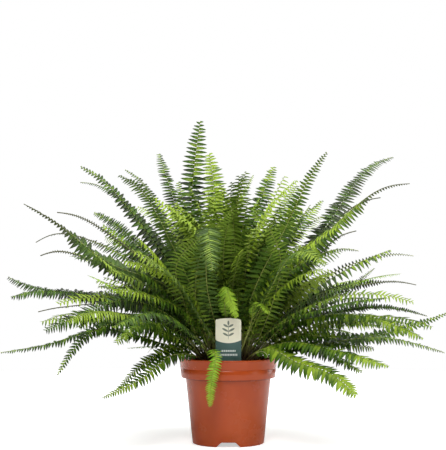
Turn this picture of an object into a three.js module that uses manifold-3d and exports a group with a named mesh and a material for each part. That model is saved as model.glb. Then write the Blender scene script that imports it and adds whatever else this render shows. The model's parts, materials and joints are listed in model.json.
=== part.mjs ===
// A sword fern in a nursery pot: pot, root ball, crown, stick-in label and the arching fronds.
// Millimetres, +Z up, the viewer's side is -Y. The origin is on the ground, on the pot's axis.
import * as THREE from 'three';
import { mergeVertices } from 'three/addons/utils/BufferGeometryUtils.js';
import Module from 'manifold-3d';

const wasm = await Module();
wasm.setup();

// Pot, with the rim band's groove and bead and the raised floor
const POT = {
  height: 145,
  rimRadius: 85,
  bandHeight: 33,
  bandFootRadius: 81,
  shoulderRadius: 73.5,
  footRadius: 61.5,
  wall: 1.6,
  footWall: 2.6,
  footBevel: 1.4,
  footBevelInset: 0.5,
  floorUnderside: 8.5,
  floorThickness: 1.8,
  beadHeight: 2,
  beadProud: 0.5,
  edgeRound: 0.6,
  grooveBelowRim: 17,
  grooveHalfWidth: 0.7,
  grooveDepth: 0.5,
  facets: 40,
};
const NOTCH = { count: 3, footWidth: 41, topWidth: 24, height: 8, below: 2, cutDepth: 24, firstAngle: -90 };
const DRAIN = { count: 6, radius: 5, circle: 42, cutLength: 12, facets: 10 };

// Root ball, which keeps a low rounded edge along the pot's wall
const SOIL = { level: 133, edgeDrop: 3, edgeInset: 4, facets: 40 };

// Crown, a low dome that sits in a recess of the root ball
const CROWN = {
  seat: 127,
  seatRadius: 55,
  radius: 56.5,
  edgeBottom: 136,
  edgeTop: 143,
  edgeInset: 2.5,
  shoulderInset: 13.5,
  shoulderTop: 147,
  crestInset: 33.5,
  top: 150,
  facets: 28,
};
const ROOT_LEVEL = 138;

// Stick-in label
const LABEL = {
  width: 43,
  thickness: 0.7,
  top: 214,
  cornerRadius: 2.6,
  topBow: 1.2,
  shoulder: 126,
  tip: 84,
  tipWidth: 5,
  y: -60,
  arcSteps: 5,
};

// Gap that touching pieces keep, and the distance within which vertices are one
const GAP = 0.3;
const WELD = 1e-3;

// Fronds
const FROND = {
  stations: 20,
  bareShare: 0.13,
  rib: 0.75,
  ribAtTip: 0.35,
  leastHalfInRibs: 1.5,
  toothDepth: 0.22,
  widestEarly: 0.65,
  fullness: 0.8,
  lift: 0.45,
  pathSteps: 120,
};
const CLEARING = { rounds: 40, shrink: 0.8, smallestOverlap: 0.002, reach: 0.5 };
const YOUNG = true;

// One row a frond: its foot in the crown as [radius, angle in degrees], the points of its midrib out
// to the tip, its width, how many degrees its upper face turns to the viewer, and YOUNG if it is.
const LEFT_FRONDS = [
  [[31, 152], [[-60, 25, 275], [-65, 35, 420], [-50, 45, 565]], 50, 35],
  [[31, 125], [[-60, 85, 260], [-90, 110, 390], [-130, 150, 520]], 42, 8],
  [[20, 120], [[-25, 65, 265], [-20, 110, 390], [-35, 150, 520]], 56, 8],
  [[20, 160], [[-68, 46, 268], [-100, 95, 360], [-150, 130, 450], [-195, 150, 490]], 44, 15],
  [[20, 240], [[-55, -55, 250], [-95, -95, 340], [-135, -130, 415], [-175, -150, 445]], 40, -12],
  [[20, 200], [[-75, -25, 265], [-135, -40, 355], [-200, -50, 435], [-250, -60, 470]], 46, 60],
  [[9, 135], [[-75, 60, 272], [-140, 120, 370], [-225, 165, 450], [-285, 190, 470]], 40, 20],
  [[31, 208], [[-95, -55, 260], [-195, -90, 305], [-280, -120, 370], [-330, -140, 400]], 46, 60],
  [[41, 168], [[-85, 20, 260], [-170, 30, 330], [-250, 35, 385], [-305, 40, 400]], 24, 60],
  [[41, 144], [[-110, 95, 260], [-205, 145, 330], [-310, 190, 370], [-375, 220, 355]], 36, 30],
  [[31, 180], [[-100, -15, 235], [-185, -25, 285], [-270, -35, 325], [-320, -40, 320]], 24, 60],
  [[41, 120], [[-80, 110, 245], [-145, 170, 320], [-215, 220, 385], [-265, 250, 415]], 34, 50],
  [[31, 235], [[-80, -65, 200], [-140, -100, 230], [-195, -130, 270], [-225, -150, 285]], 20, 20, YOUNG],
  [[50, 171], [[-130, 25, 235], [-235, 40, 255], [-335, 50, 265], [-395, 60, 285]], 42, 28],
  [[41, 192], [[-115, -40, 225], [-210, -70, 250], [-300, -95, 260], [-355, -110, 250]], 42, 28],
  [[50, 152], [[-130, 85, 210], [-220, 135, 235], [-310, 175, 230], [-365, 200, 220]], 34, 0],
  [[41, 240], [[-90, -95, 215], [-165, -140, 245], [-235, -190, 220], [-280, -220, 200]], 42, 50],
  [[50, 188], [[-130, -10, 175], [-220, -15, 195], [-305, -15, 170], [-390, -20, 155]], 40, 25],
  [[41, 216], [[-90, -65, 180], [-160, -105, 210], [-225, -145, 190], [-265, -190, 130]], 36, 60],
  [[50, 136], [[-80, 60, 160], [-135, 85, 160], [-185, 110, 155]], 18, 0, YOUNG],
  [[50, 226], [[-90, -85, 155], [-140, -135, 120], [-195, -190, 95]], 36, 50],
  [[50, 207], [[-90, -55, 165], [-140, -85, 140], [-180, -120, 100]], 32, 40],
];
const RIGHT_FRONDS = [
  [[20, 80], [[-5, 85, 255], [5, 145, 375], [50, 200, 485]], 34, 5],
  [[20, 40], [[15, 45, 260], [45, 80, 380], [85, 110, 490]], 46, 20],
  [[31, 69], [[25, 95, 255], [75, 155, 360], [135, 210, 465]], 52, 10],
  [[9, 315], [[45, -50, 265], [90, -85, 355], [130, -105, 440], [160, -130, 485]], 52, -30],
  [[41, 48], [[35, 110, 255], [95, 190, 360], [185, 260, 435]], 24, 20],
  [[20, 0], [[100, 40, 265], [175, 80, 370], [250, 120, 475], [315, 160, 515]], 64, 30],
  [[31, 346], [[90, -30, 265], [165, -45, 355], [245, -60, 425], [305, -70, 440]], 48, 45],
  [[31, 42], [[75, 80, 265], [155, 125, 350], [240, 165, 420], [295, 190, 440]], 26, 30],
  [[31, 14], [[70, 35, 235], [135, 60, 290], [190, 80, 350], [235, 90, 370]], 26, 30],
  [[20, 320], [[50, -50, 230], [100, -80, 290], [165, -110, 325], [210, -130, 325]], 26, 40],
  [[41, 24], [[110, 55, 235], [195, 80, 295], [285, 105, 325], [345, 120, 325]], 20, 60],
  [[41, 336], [[105, -40, 220], [180, -60, 260], [260, -80, 275], [310, -90, 270]], 24, 60],
  [[50, 33], [[100, 100, 205], [200, 175, 245], [290, 240, 305]], 28, 45],
  [[31, 318], [[80, -75, 200], [165, -130, 235], [245, -190, 250]], 32, 20],
  [[41, 0], [[105, 15, 190], [190, 25, 220], [275, 40, 230], [355, 50, 215]], 30, 40],
  [[50, 15], [[125, 30, 180], [215, 40, 175], [305, 55, 190], [395, 70, 220]], 40, 50],
  [[50, 332], [[110, -60, 205], [215, -100, 220], [310, -140, 185]], 44, 25],
  [[50, 352], [[150, -10, 165], [260, -15, 180], [370, -20, 155]], 38, 30],
  [[41, 312], [[95, -85, 175], [170, -140, 165], [245, -200, 145]], 44, 20],
  [[50, 316], [[90, -60, 170], [155, -90, 160], [215, -120, 130]], 40, 20],
  [[50, 300], [[65, -80, 165], [110, -120, 145], [160, -160, 130], [195, -200, 100]], 46, 40],
];
const FRONT_FRONDS = [
  [[46, 250], [[-27, -66, 162], [-21, -95, 150], [-28, -106, 112], [-30, -110, 72]], 26, 0, YOUNG],
  [[41, 275], [[-6, -52, 235], [-5, -76, 266], [14, -95, 215]], 34, 0, YOUNG],
  [[41, 292], [[36, -64, 200], [46, -80, 240], [68, -100, 222]], 24, 0, YOUNG],
  [[31, 258], [[-55, -88, 228], [-88, -125, 280], [-130, -175, 312]], 54, 30],
  [[9, 225], [[-35, -70, 262], [-34, -160, 358], [-25, -270, 290]], 48, 0],
  [[31, 303], [[65, -90, 255], [105, -150, 320], [150, -205, 300]], 46, 20],
  [[50, 236], [[-70, -110, 200], [-120, -170, 225], [-175, -225, 205]], 44, 20],
];
const BACK_FRONDS = [
  [[41, 66], [[38, 90, 255], [58, 185, 325], [75, 270, 300]], 42, 0],
  [[41, 96], [[-30, 90, 240], [-60, 180, 310], [-85, 260, 270]], 42, 0],
  [[50, 112], [[-75, 105, 225], [-135, 185, 265], [-185, 250, 230]], 42, 0],
  [[50, 56], [[75, 95, 225], [135, 170, 275], [180, 235, 245]], 42, 0],
  [[31, 97], [[-8, 100, 245], [2, 170, 350], [15, 215, 440]], 40, 0],
  [[50, 80], [[35, 120, 190], [60, 190, 190], [80, 245, 140]], 38, 0],
];

const radians = THREE.MathUtils.degToRad;
const UP = new THREE.Vector3(0, 0, 1);

function material(colour, roughness, metalness = 0) {
  return new THREE.MeshStandardMaterial({ color: colour, roughness, metalness });
}

function solidFrom(vertices, triangles) {
  return new wasm.Manifold(new wasm.Mesh({
    numProp: 3,
    vertProperties: new Float32Array(vertices),
    triVerts: new Uint32Array(triangles),
  }));
}

function solidOf(geometry) {
  const bare = geometry.clone();
  bare.deleteAttribute('normal');
  bare.deleteAttribute('uv');
  const merged = mergeVertices(bare, WELD);
  return solidFrom(merged.attributes.position.array, merged.index.array);
}

function geometryOf(solid) {
  const mesh = solid.getMesh();
  const geometry = new THREE.BufferGeometry();
  geometry.setAttribute('position', new THREE.BufferAttribute(new Float32Array(mesh.vertProperties), 3));
  geometry.setIndex(new THREE.BufferAttribute(new Uint32Array(mesh.triVerts), 1));
  geometry.computeVertexNormals();
  return geometry;
}

// A profile of [radius, height] points turned round the Z axis
function turned(profile, facets) {
  const points = profile.map(([radius, height]) => new THREE.Vector2(radius, height));
  const geometry = new THREE.LatheGeometry(points, facets);
  geometry.rotateX(Math.PI / 2);
  return geometry;
}

// The pot's outer radius at a height, without its lips and groove
function wallRadius(z) {
  const bandFoot = POT.height - POT.bandHeight;
  if (z < bandFoot) {
    return THREE.MathUtils.mapLinear(z, 0, bandFoot, POT.footRadius, POT.shoulderRadius);
  }
  const lip = POT.rimRadius - POT.beadProud;
  return THREE.MathUtils.mapLinear(z, bandFoot, POT.height, POT.bandFootRadius, lip);
}

function potSolid() {
  const bandFoot = POT.height - POT.bandHeight;
  const bandRound = bandFoot + POT.edgeRound;
  const ledge = bandFoot + POT.wall;
  const groove = POT.height - POT.grooveBelowRim;
  const grooveFoot = groove - POT.grooveHalfWidth;
  const grooveHead = groove + POT.grooveHalfWidth;
  const bead = POT.height - POT.beadHeight;
  const beadFoot = bead - POT.edgeRound;
  const floorTop = POT.floorUnderside + POT.floorThickness;
  const profile = [
    [0, POT.floorUnderside],
    [wallRadius(POT.floorUnderside) - POT.footWall, POT.floorUnderside],
    [wallRadius(0) - POT.footWall, 0],
    [wallRadius(0) - POT.footBevelInset, 0],
    [wallRadius(POT.footBevel), POT.footBevel],
    [POT.shoulderRadius, bandFoot],
    [POT.bandFootRadius - POT.edgeRound, bandFoot],
    [wallRadius(bandRound), bandRound],
    [wallRadius(grooveFoot), grooveFoot],
    [wallRadius(groove) - POT.grooveDepth, groove],
    [wallRadius(grooveHead), grooveHead],
    [wallRadius(beadFoot), beadFoot],
    [POT.rimRadius, bead],
    [POT.rimRadius, POT.height - POT.edgeRound],
    [POT.rimRadius - POT.edgeRound, POT.height],
    [wallRadius(POT.height) - POT.wall, POT.height],
    [wallRadius(ledge) - POT.wall, ledge],
    [POT.shoulderRadius - POT.wall, ledge],
    [wallRadius(floorTop) - POT.wall, floorTop],
    [0, floorTop],
  ];
  let pot = solidOf(turned(profile, POT.facets));
  for (const cutter of [...footNotches(), ...drainHoles()]) {
    pot = pot.subtract(cutter);
  }
  return pot;
}

function footNotches() {
  const outline = new THREE.Shape();
  outline.moveTo(-NOTCH.footWidth / 2, -NOTCH.below);
  outline.lineTo(-NOTCH.footWidth / 2, 0);
  outline.lineTo(-NOTCH.topWidth / 2, NOTCH.height);
  outline.lineTo(NOTCH.topWidth / 2, NOTCH.height);
  outline.lineTo(NOTCH.footWidth / 2, 0);
  outline.lineTo(NOTCH.footWidth / 2, -NOTCH.below);
  return Array.from({ length: NOTCH.count }, (_, i) => {
    const geometry = new THREE.ExtrudeGeometry(outline, { depth: NOTCH.cutDepth, bevelEnabled: false });
    geometry.rotateX(Math.PI / 2);
    geometry.translate(0, NOTCH.cutDepth / 2 - POT.footRadius, 0);
    geometry.rotateZ(radians(NOTCH.firstAngle + 90 + (i * 360) / NOTCH.count));
    return solidOf(geometry);
  });
}

function drainHoles() {
  return Array.from({ length: DRAIN.count }, (_, i) => {
    const angle = radians((i * 360) / DRAIN.count);
    const geometry = new THREE.CylinderGeometry(DRAIN.radius, DRAIN.radius, DRAIN.cutLength, DRAIN.facets);
    geometry.rotateX(Math.PI / 2);
    geometry.translate(DRAIN.circle * Math.cos(angle), DRAIN.circle * Math.sin(angle), POT.floorUnderside);
    return solidOf(geometry);
  });
}

function soilSolid() {
  const ledge = POT.height - POT.bandHeight + POT.wall;
  const floorTop = POT.floorUnderside + POT.floorThickness;
  const inner = (z) => wallRadius(z) - POT.wall - GAP;
  const throat = POT.shoulderRadius - POT.wall - 2 * GAP;
  const recess = CROWN.radius + 2 * GAP;
  const edge = SOIL.level - SOIL.edgeDrop;
  const profile = [
    [0, floorTop + GAP],
    [inner(floorTop) - GAP, floorTop + GAP],
    [throat, ledge],
    [throat, ledge + GAP],
    [inner(ledge), ledge + GAP],
    [inner(edge), edge],
    [inner(SOIL.level) - SOIL.edgeInset, SOIL.level],
    [recess, SOIL.level],
    [CROWN.seatRadius + 2 * GAP, CROWN.seat - GAP],
    [0, CROWN.seat - GAP],
  ];
  return solidOf(turned(profile, SOIL.facets)).subtract(labelSolid(GAP));
}

function crownSolid(fronds) {
  const profile = [
    [0, CROWN.seat],
    [CROWN.seatRadius, CROWN.seat],
    [CROWN.radius, SOIL.level],
    [CROWN.radius, CROWN.edgeBottom],
    [CROWN.radius - CROWN.edgeInset, CROWN.edgeTop],
    [CROWN.radius - CROWN.shoulderInset, CROWN.shoulderTop],
    [CROWN.radius - CROWN.crestInset, CROWN.top],
    [0, CROWN.top],
  ];
  let crown = solidOf(turned(profile, CROWN.facets));
  for (const frond of fronds) {
    crown = crown.subtract(frond.solid(GAP));
  }
  return crown;
}

// The label's outline grown by a margin all round, as a thin plate facing -Y
function labelSolid(grow) {
  const half = LABEL.width / 2 + grow;
  const top = LABEL.top + grow;
  const corner = LABEL.cornerRadius;
  const outline = new THREE.Shape();
  outline.moveTo(-LABEL.tipWidth / 2 - grow, LABEL.tip - grow);
  outline.lineTo(LABEL.tipWidth / 2 + grow, LABEL.tip - grow);
  outline.lineTo(half, LABEL.shoulder - grow);
  outline.lineTo(half, top - corner);
  outline.quadraticCurveTo(half, top - LABEL.topBow, half - corner, top - LABEL.topBow);
  outline.quadraticCurveTo(0, top + LABEL.topBow, corner - half, top - LABEL.topBow);
  outline.quadraticCurveTo(-half, top - LABEL.topBow, -half, top - corner);
  outline.lineTo(-half, LABEL.shoulder - grow);
  const depth = LABEL.thickness + 2 * grow;
  const options = { depth, bevelEnabled: false, curveSegments: LABEL.arcSteps };
  const geometry = new THREE.ExtrudeGeometry(outline, options);
  geometry.rotateX(Math.PI / 2);
  geometry.translate(0, LABEL.y + depth / 2, 0);
  return solidOf(geometry);
}

// A smooth midrib through its points, which leaves the crown more steeply than the first chord
function midribPoints(points) {
  const last = points.length - 1;
  const chords = points.slice(1).map((point, i) => point.clone().sub(points[i]));
  const slopes = points.map((_, i) => new THREE.Vector3());
  for (let i = 1; i < last; i += 1) {
    slopes[i].addVectors(chords[i - 1], chords[i]).multiplyScalar(0.5);
  }
  const first = chords[0].length();
  slopes[0].copy(chords[0]).addScaledVector(UP, FROND.lift * first).setLength(first);
  slopes[last].copy(chords[last - 1]).multiplyScalar(1.5).addScaledVector(slopes[last - 1], -0.5);
  return Array.from({ length: FROND.pathSteps + 1 }, (_, k) => {
    const place = (k / FROND.pathSteps) * last;
    const i = Math.min(Math.floor(place), last - 1);
    const t = place - i;
    return points[i].clone().multiplyScalar((1 + 2 * t) * (1 - t) ** 2)
      .addScaledVector(slopes[i], t * (1 - t) ** 2)
      .addScaledVector(points[i + 1], t * t * (3 - 2 * t))
      .addScaledVector(slopes[i + 1], t * t * (t - 1));
  });
}

function bladeShape(share) {
  return Math.sin(Math.PI * share ** FROND.widestEarly) ** FROND.fullness;
}

class Frond {
  constructor(name, [foot, path, width, turn, young = false]) {
    this.name = name;
    this.young = young;
    const [radius, angle] = foot;
    const root = [radius * Math.cos(radians(angle)), radius * Math.sin(radians(angle)), ROOT_LEVEL];
    const points = [root, ...path].map((place) => new THREE.Vector3(...place));
    const outward = points.at(-1).clone().sub(points[0]).setZ(0).normalize();
    this.side = new THREE.Vector3(-outward.y, outward.x, 0);
    this.turn = radians(turn) * Math.sign(outward.x);
    this.line = midribPoints(points);
    this.lengths = [0];
    for (let i = 1; i < this.line.length; i += 1) {
      this.lengths.push(this.lengths[i - 1] + this.line[i].distanceTo(this.line[i - 1]));
    }
    this.stations = this.makeStations(width);
  }

  // The midrib's point and direction at a share of its length
  at(share) {
    const wanted = share * this.lengths.at(-1);
    const i = Math.max(this.lengths.findIndex((length) => length >= wanted), 1);
    const t = (wanted - this.lengths[i - 1]) / (this.lengths[i] - this.lengths[i - 1]);
    return {
      point: this.line[i - 1].clone().lerp(this.line[i], t),
      along: this.line[i].clone().sub(this.line[i - 1]).normalize(),
    };
  }

  makeStations(width) {
    return Array.from({ length: FROND.stations }, (_, i) => {
      const share = i / FROND.stations;
      const { point, along } = this.at(share);
      const across = this.side.clone().addScaledVector(along, -this.side.dot(along)).normalize();
      across.applyAxisAngle(along, this.turn);
      const rib = THREE.MathUtils.lerp(FROND.rib, FROND.ribAtTip, share);
      const blade = Math.max(share - FROND.bareShare, 0) / (1 - FROND.bareShare);
      const tooth = i % 2 ? 1 : 1 - FROND.toothDepth;
      const leastHalf = FROND.leastHalfInRibs * rib;
      const half = Math.max(leastHalf, (width / 2) * bladeShape(blade) * tooth);
      return { point, across, face: along.clone().cross(across), rib, half, leastHalf };
    });
  }

  // A closed ribbon with a raised midrib: four corners a station and a pointed tip
  solid(grow = 0) {
    const corners = this.stations.flatMap(({ point, across, face, rib, half }) => [
      point.clone().addScaledVector(across, -half - grow),
      point.clone().addScaledVector(face, -rib - grow),
      point.clone().addScaledVector(across, half + grow),
      point.clone().addScaledVector(face, rib + grow),
    ]);
    corners.push(this.line.at(-1));
    const triangles = [0, 2, 1, 0, 3, 2];
    const last = this.stations.length - 1;
    for (let station = 0; station <= last; station += 1) {
      for (let k = 0; k < 4; k += 1) {
        const a = station * 4 + k;
        const b = station * 4 + ((k + 1) % 4);
        if (station === last) {
          triangles.push(a, b, corners.length - 1);
        } else {
          triangles.push(a, b, b + 4, a, b + 4, a + 4);
        }
      }
    }
    return solidFrom(corners.flatMap((corner) => corner.toArray()), triangles);
  }

  // Narrows the blade where it reaches into a box, down to a little more than its midrib
  narrow(box) {
    const low = new THREE.Vector3(...box.min).addScalar(-CLEARING.reach);
    const high = new THREE.Vector3(...box.max).addScalar(CLEARING.reach);
    const clash = new THREE.Box3(low, high);
    const spans = this.stations.map(({ point, across, half }) => new THREE.Box3().setFromPoints([
      point.clone().addScaledVector(across, half),
      point.clone().addScaledVector(across, -half),
    ]));
    this.stations.forEach((station, i) => {
      const near = [spans[i - 1], spans[i + 1]].filter(Boolean);
      const reaches = near.some((span) => span.clone().union(spans[i]).intersectsBox(clash));
      if (reaches) {
        station.half = Math.max(station.leastHalf, station.half * CLEARING.shrink);
      }
    });
  }
}

function boxesMeet(a, b) {
  return [0, 1, 2].every((axis) => a.min[axis] <= b.max[axis] && b.min[axis] <= a.max[axis]);
}

// Fronds lie among each other without touching: blades that cross are narrowed until they are clear
function clearFronds(fronds, fixedSolids) {
  const fixed = fixedSolids.map((solid) => ({ solid, box: solid.boundingBox() }));
  let moved = new Set(fronds);
  let grown = fronds.map((frond) => frond.solid(GAP / 2));
  for (let round = 0; round < CLEARING.rounds && moved.size > 0; round += 1) {
    const boxes = grown.map((solid) => solid.boundingBox());
    const narrowed = new Set();
    fronds.forEach((first, i) => {
      const others = fronds.slice(i + 1).map((frond, k) => ({
        frond, solid: grown[i + 1 + k], box: boxes[i + 1 + k],
      }));
      for (const other of [...others, ...fixed]) {
        const worth = moved.has(first) || moved.has(other.frond);
        if (!worth || !boxesMeet(boxes[i], other.box)) {
          continue;
        }
        const overlap = grown[i].intersect(other.solid);
        if (overlap.volume() > CLEARING.smallestOverlap) {
          const box = overlap.boundingBox();
          first.narrow(box);
          narrowed.add(first);
          if (other.frond) {
            other.frond.narrow(box);
            narrowed.add(other.frond);
          }
        }
      }
    });
    moved = narrowed;
    grown = fronds.map((frond, i) => (moved.has(frond) ? frond.solid(GAP / 2) : grown[i]));
  }
}

const groups = { left: LEFT_FRONDS, right: RIGHT_FRONDS, front: FRONT_FRONDS, back: BACK_FRONDS };
const fronds = Object.entries(groups).flatMap(([side, rows]) => rows.map((row, i) => (
  new Frond(`frond_${side}_${String(i + 1).padStart(2, '0')}`, row)
)));

const pot = potSolid();
const soil = soilSolid();
const label = labelSolid(0);
clearFronds(fronds, [pot, soil, labelSolid(GAP)]);

const terracotta = material(0xa9542f, 0.4);
const peat = material(0x2a2019, 0.95);
const rhizome = material(0x4a3a24, 0.9);
const printedPlastic = material(0xd9d2b8, 0.45);
const leafGreen = material(0x4c7a22, 0.55);
const youngGreen = material(0x86b52c, 0.5);

const fern = new THREE.Group();

function addPiece(name, solid, finish) {
  const mesh = new THREE.Mesh(geometryOf(solid), finish);
  mesh.name = name;
  fern.add(mesh);
}

addPiece('pot', pot, terracotta);
addPiece('potting_soil', soil, peat);
addPiece('crown', crownSolid(fronds), rhizome);
addPiece('plant_label', label, printedPlastic);
for (const frond of fronds) {
  addPiece(frond.name, frond.solid(), frond.young ? youngGreen : leafGreen);
}

export default fern;
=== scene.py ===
"""A potted sword fern: leafy fronds, crown, root ball, stick-in label and moulded nursery pot.

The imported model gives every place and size. This script gives the looks: each frond gets its leaflets,
the pot its lips and groove, the label its print and the root ball its crumbs.
"""

import json
import logging
import math
from dataclasses import dataclass, field
from enum import Enum
from functools import partial, reduce
from typing import Any, Callable, Iterable, Mapping, Optional, Sequence

import bmesh
import bpy
import numpy as np
from mathutils import Matrix, Vector, noise

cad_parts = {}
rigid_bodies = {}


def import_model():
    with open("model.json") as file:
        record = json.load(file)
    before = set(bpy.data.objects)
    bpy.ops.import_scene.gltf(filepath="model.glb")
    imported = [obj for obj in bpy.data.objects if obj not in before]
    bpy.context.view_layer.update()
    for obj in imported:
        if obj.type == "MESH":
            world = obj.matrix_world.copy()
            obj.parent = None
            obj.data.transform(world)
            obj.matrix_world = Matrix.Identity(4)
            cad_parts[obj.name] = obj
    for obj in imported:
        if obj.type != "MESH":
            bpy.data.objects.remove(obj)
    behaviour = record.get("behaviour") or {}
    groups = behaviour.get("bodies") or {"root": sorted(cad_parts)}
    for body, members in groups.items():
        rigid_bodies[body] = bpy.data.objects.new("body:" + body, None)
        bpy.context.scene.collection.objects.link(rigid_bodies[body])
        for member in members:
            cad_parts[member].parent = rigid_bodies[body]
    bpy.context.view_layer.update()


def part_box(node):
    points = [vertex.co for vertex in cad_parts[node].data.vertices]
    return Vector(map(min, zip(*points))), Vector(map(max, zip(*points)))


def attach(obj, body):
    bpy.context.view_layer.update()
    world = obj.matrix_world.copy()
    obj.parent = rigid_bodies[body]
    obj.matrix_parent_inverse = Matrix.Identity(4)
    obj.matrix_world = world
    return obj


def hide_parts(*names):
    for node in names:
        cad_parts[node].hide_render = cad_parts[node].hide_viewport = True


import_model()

MM = 0.001
BODY = "root"
LOG = logging.getLogger("sword_fern")

Colour = tuple[float, float, float, float]
Pair = tuple[float, float]
Point = tuple[float, float, float]
Face = tuple[int, ...]
Object = bpy.types.Object
Material = bpy.types.Material
Socket = bpy.types.NodeSocket


def to_linear(value: int) -> float:
    """Turns a colour channel as seen, from 0 to 255, into the linear one that shaders use."""
    share = value / 255
    return share / 12.92 if share <= 0.04045 else ((share + 0.055) / 1.055) ** 2.4


def paint(red: int, green: int, blue: int) -> Colour:
    """Gives the linear colour of three channels as seen, with an alpha of 1."""
    return (to_linear(red), to_linear(green), to_linear(blue), 1.0)


# Node trees


class Graph:
    """A node tree under construction.

    Attributes:
        tree: The tree that nodes are added to.
    """

    def __init__(self, tree: bpy.types.NodeTree) -> None:
        """Keeps the tree and clears the nodes that it came with."""
        self.tree = tree
        tree.nodes.clear()

    @staticmethod
    def pick(sockets: Iterable[Socket], key: Any) -> Socket:
        """Finds a socket by its index, or by its name among those in use."""
        fitting = (socket for socket in sockets if socket.name == key and socket.enabled)
        return list(sockets)[key] if isinstance(key, int) else next(fitting)

    def add(self, kind: str, inputs: Optional[Mapping] = None, **settings: Any) -> bpy.types.Node:
        """Adds a node.

        Args:
            kind: The node's type.
            inputs: For each input, by name or index, the output to link it to or its plain value.
            settings: The node's own properties.

        Returns:
            The new node.
        """
        node = self.tree.nodes.new(kind)
        for name, value in settings.items():
            setattr(node, name, value)
        for key, value in (inputs or {}).items():
            socket = self.pick(node.inputs, key)
            if isinstance(value, bpy.types.NodeSocket):
                self.tree.links.new(value, socket)
            else:
                socket.default_value = value
        return node

    def out(self, kind: str, output: Any, inputs: Optional[Mapping] = None, **settings: Any) -> Socket:
        """Adds a node and returns one of its outputs, by name or index."""
        return self.pick(self.add(kind, inputs, **settings).outputs, output)

    def math(self, operation: str, *values: Any, clamp: bool = False) -> Socket:
        """Works on one to three numbers, and keeps the result from 0 to 1 if asked to."""
        inputs = dict(enumerate(values))
        return self.out("ShaderNodeMath", 0, inputs, operation=operation, use_clamp=clamp)

    def times(self, first: Any, second: Any) -> Socket:
        """Multiplies two numbers."""
        return self.math("MULTIPLY", first, second)

    def plus(self, first: Any, second: Any) -> Socket:
        """Adds two numbers."""
        return self.math("ADD", first, second)

    def linear(self, value: Any, slope: Any, offset: Any) -> Socket:
        """Multiplies a number by a slope and adds an offset."""
        return self.math("MULTIPLY_ADD", value, slope, offset)

    def swing(self, share: Socket, reach: float) -> Socket:
        """Spreads a share from 0 to 1 evenly about 0, as far as the reach."""
        return self.linear(share, 2 * reach, -reach)

    def vector(self, operation: str, *values: Any) -> Socket:
        """Works on one or two vectors."""
        return self.out("ShaderNodeVectorMath", "Vector", dict(enumerate(values)), operation=operation)

    def scaled(self, vector: Socket, factor: Any) -> Socket:
        """Multiplies a vector by a number."""
        return self.out("ShaderNodeVectorMath", "Vector", {0: vector, "Scale": factor}, operation="SCALE")

    def split(self, vector: Socket) -> Sequence[Socket]:
        """Splits a vector into its three numbers."""
        return self.add("ShaderNodeSeparateXYZ", {0: vector}).outputs

    def compose(self, **parts: Any) -> Socket:
        """Makes a vector of the numbers named X, Y and Z."""
        return self.out("ShaderNodeCombineXYZ", "Vector", parts)

    def ramp(self, value: Any, start: Any, end: Any, low: Any = 0.0, high: Any = 1.0) -> Socket:
        """Eases from a low to a high level while a number goes from a start to an end."""
        inputs = {"Value": value, "From Min": start, "From Max": end, "To Min": low, "To Max": high}
        return self.out("ShaderNodeMapRange", "Result", inputs, interpolation_type="SMOOTHSTEP")

    def blend(self, first: Any, second: Any, factor: Any) -> Socket:
        """Mixes two colours, where the factor is the share of the second."""
        inputs = {"Factor": factor, "A": first, "B": second}
        return self.out("ShaderNodeMix", "Result", inputs, data_type="RGBA", blend_type="MIX")


def uneven_group() -> bpy.types.NodeTree:
    """Builds the group that turns noise on the piece into a soft, uneven mask.

    Returns:
        The group, with Vector, Scale, Low and High in and Mask out.
    """
    tree = bpy.data.node_groups.new("uneven_surface", "ShaderNodeTree")
    tree.interface.new_socket("Vector", in_out="INPUT", socket_type="NodeSocketVector")
    for name, value in (("Scale", 10.0), ("Low", 0.4), ("High", 0.6)):
        socket = tree.interface.new_socket(name, in_out="INPUT", socket_type="NodeSocketFloat")
        socket.default_value = value
    tree.interface.new_socket("Mask", in_out="OUTPUT", socket_type="NodeSocketFloat")
    graph = Graph(tree)
    given = graph.add("NodeGroupInput").outputs
    inputs = {"Vector": given["Vector"], "Scale": given["Scale"], "Detail": 4.0, "Roughness": 0.6}
    cloud = graph.out("ShaderNodeTexNoise", "Fac", inputs)
    graph.add("NodeGroupOutput", {"Mask": graph.ramp(cloud, given["Low"], given["High"])})
    return tree


UNEVEN = uneven_group()


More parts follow.
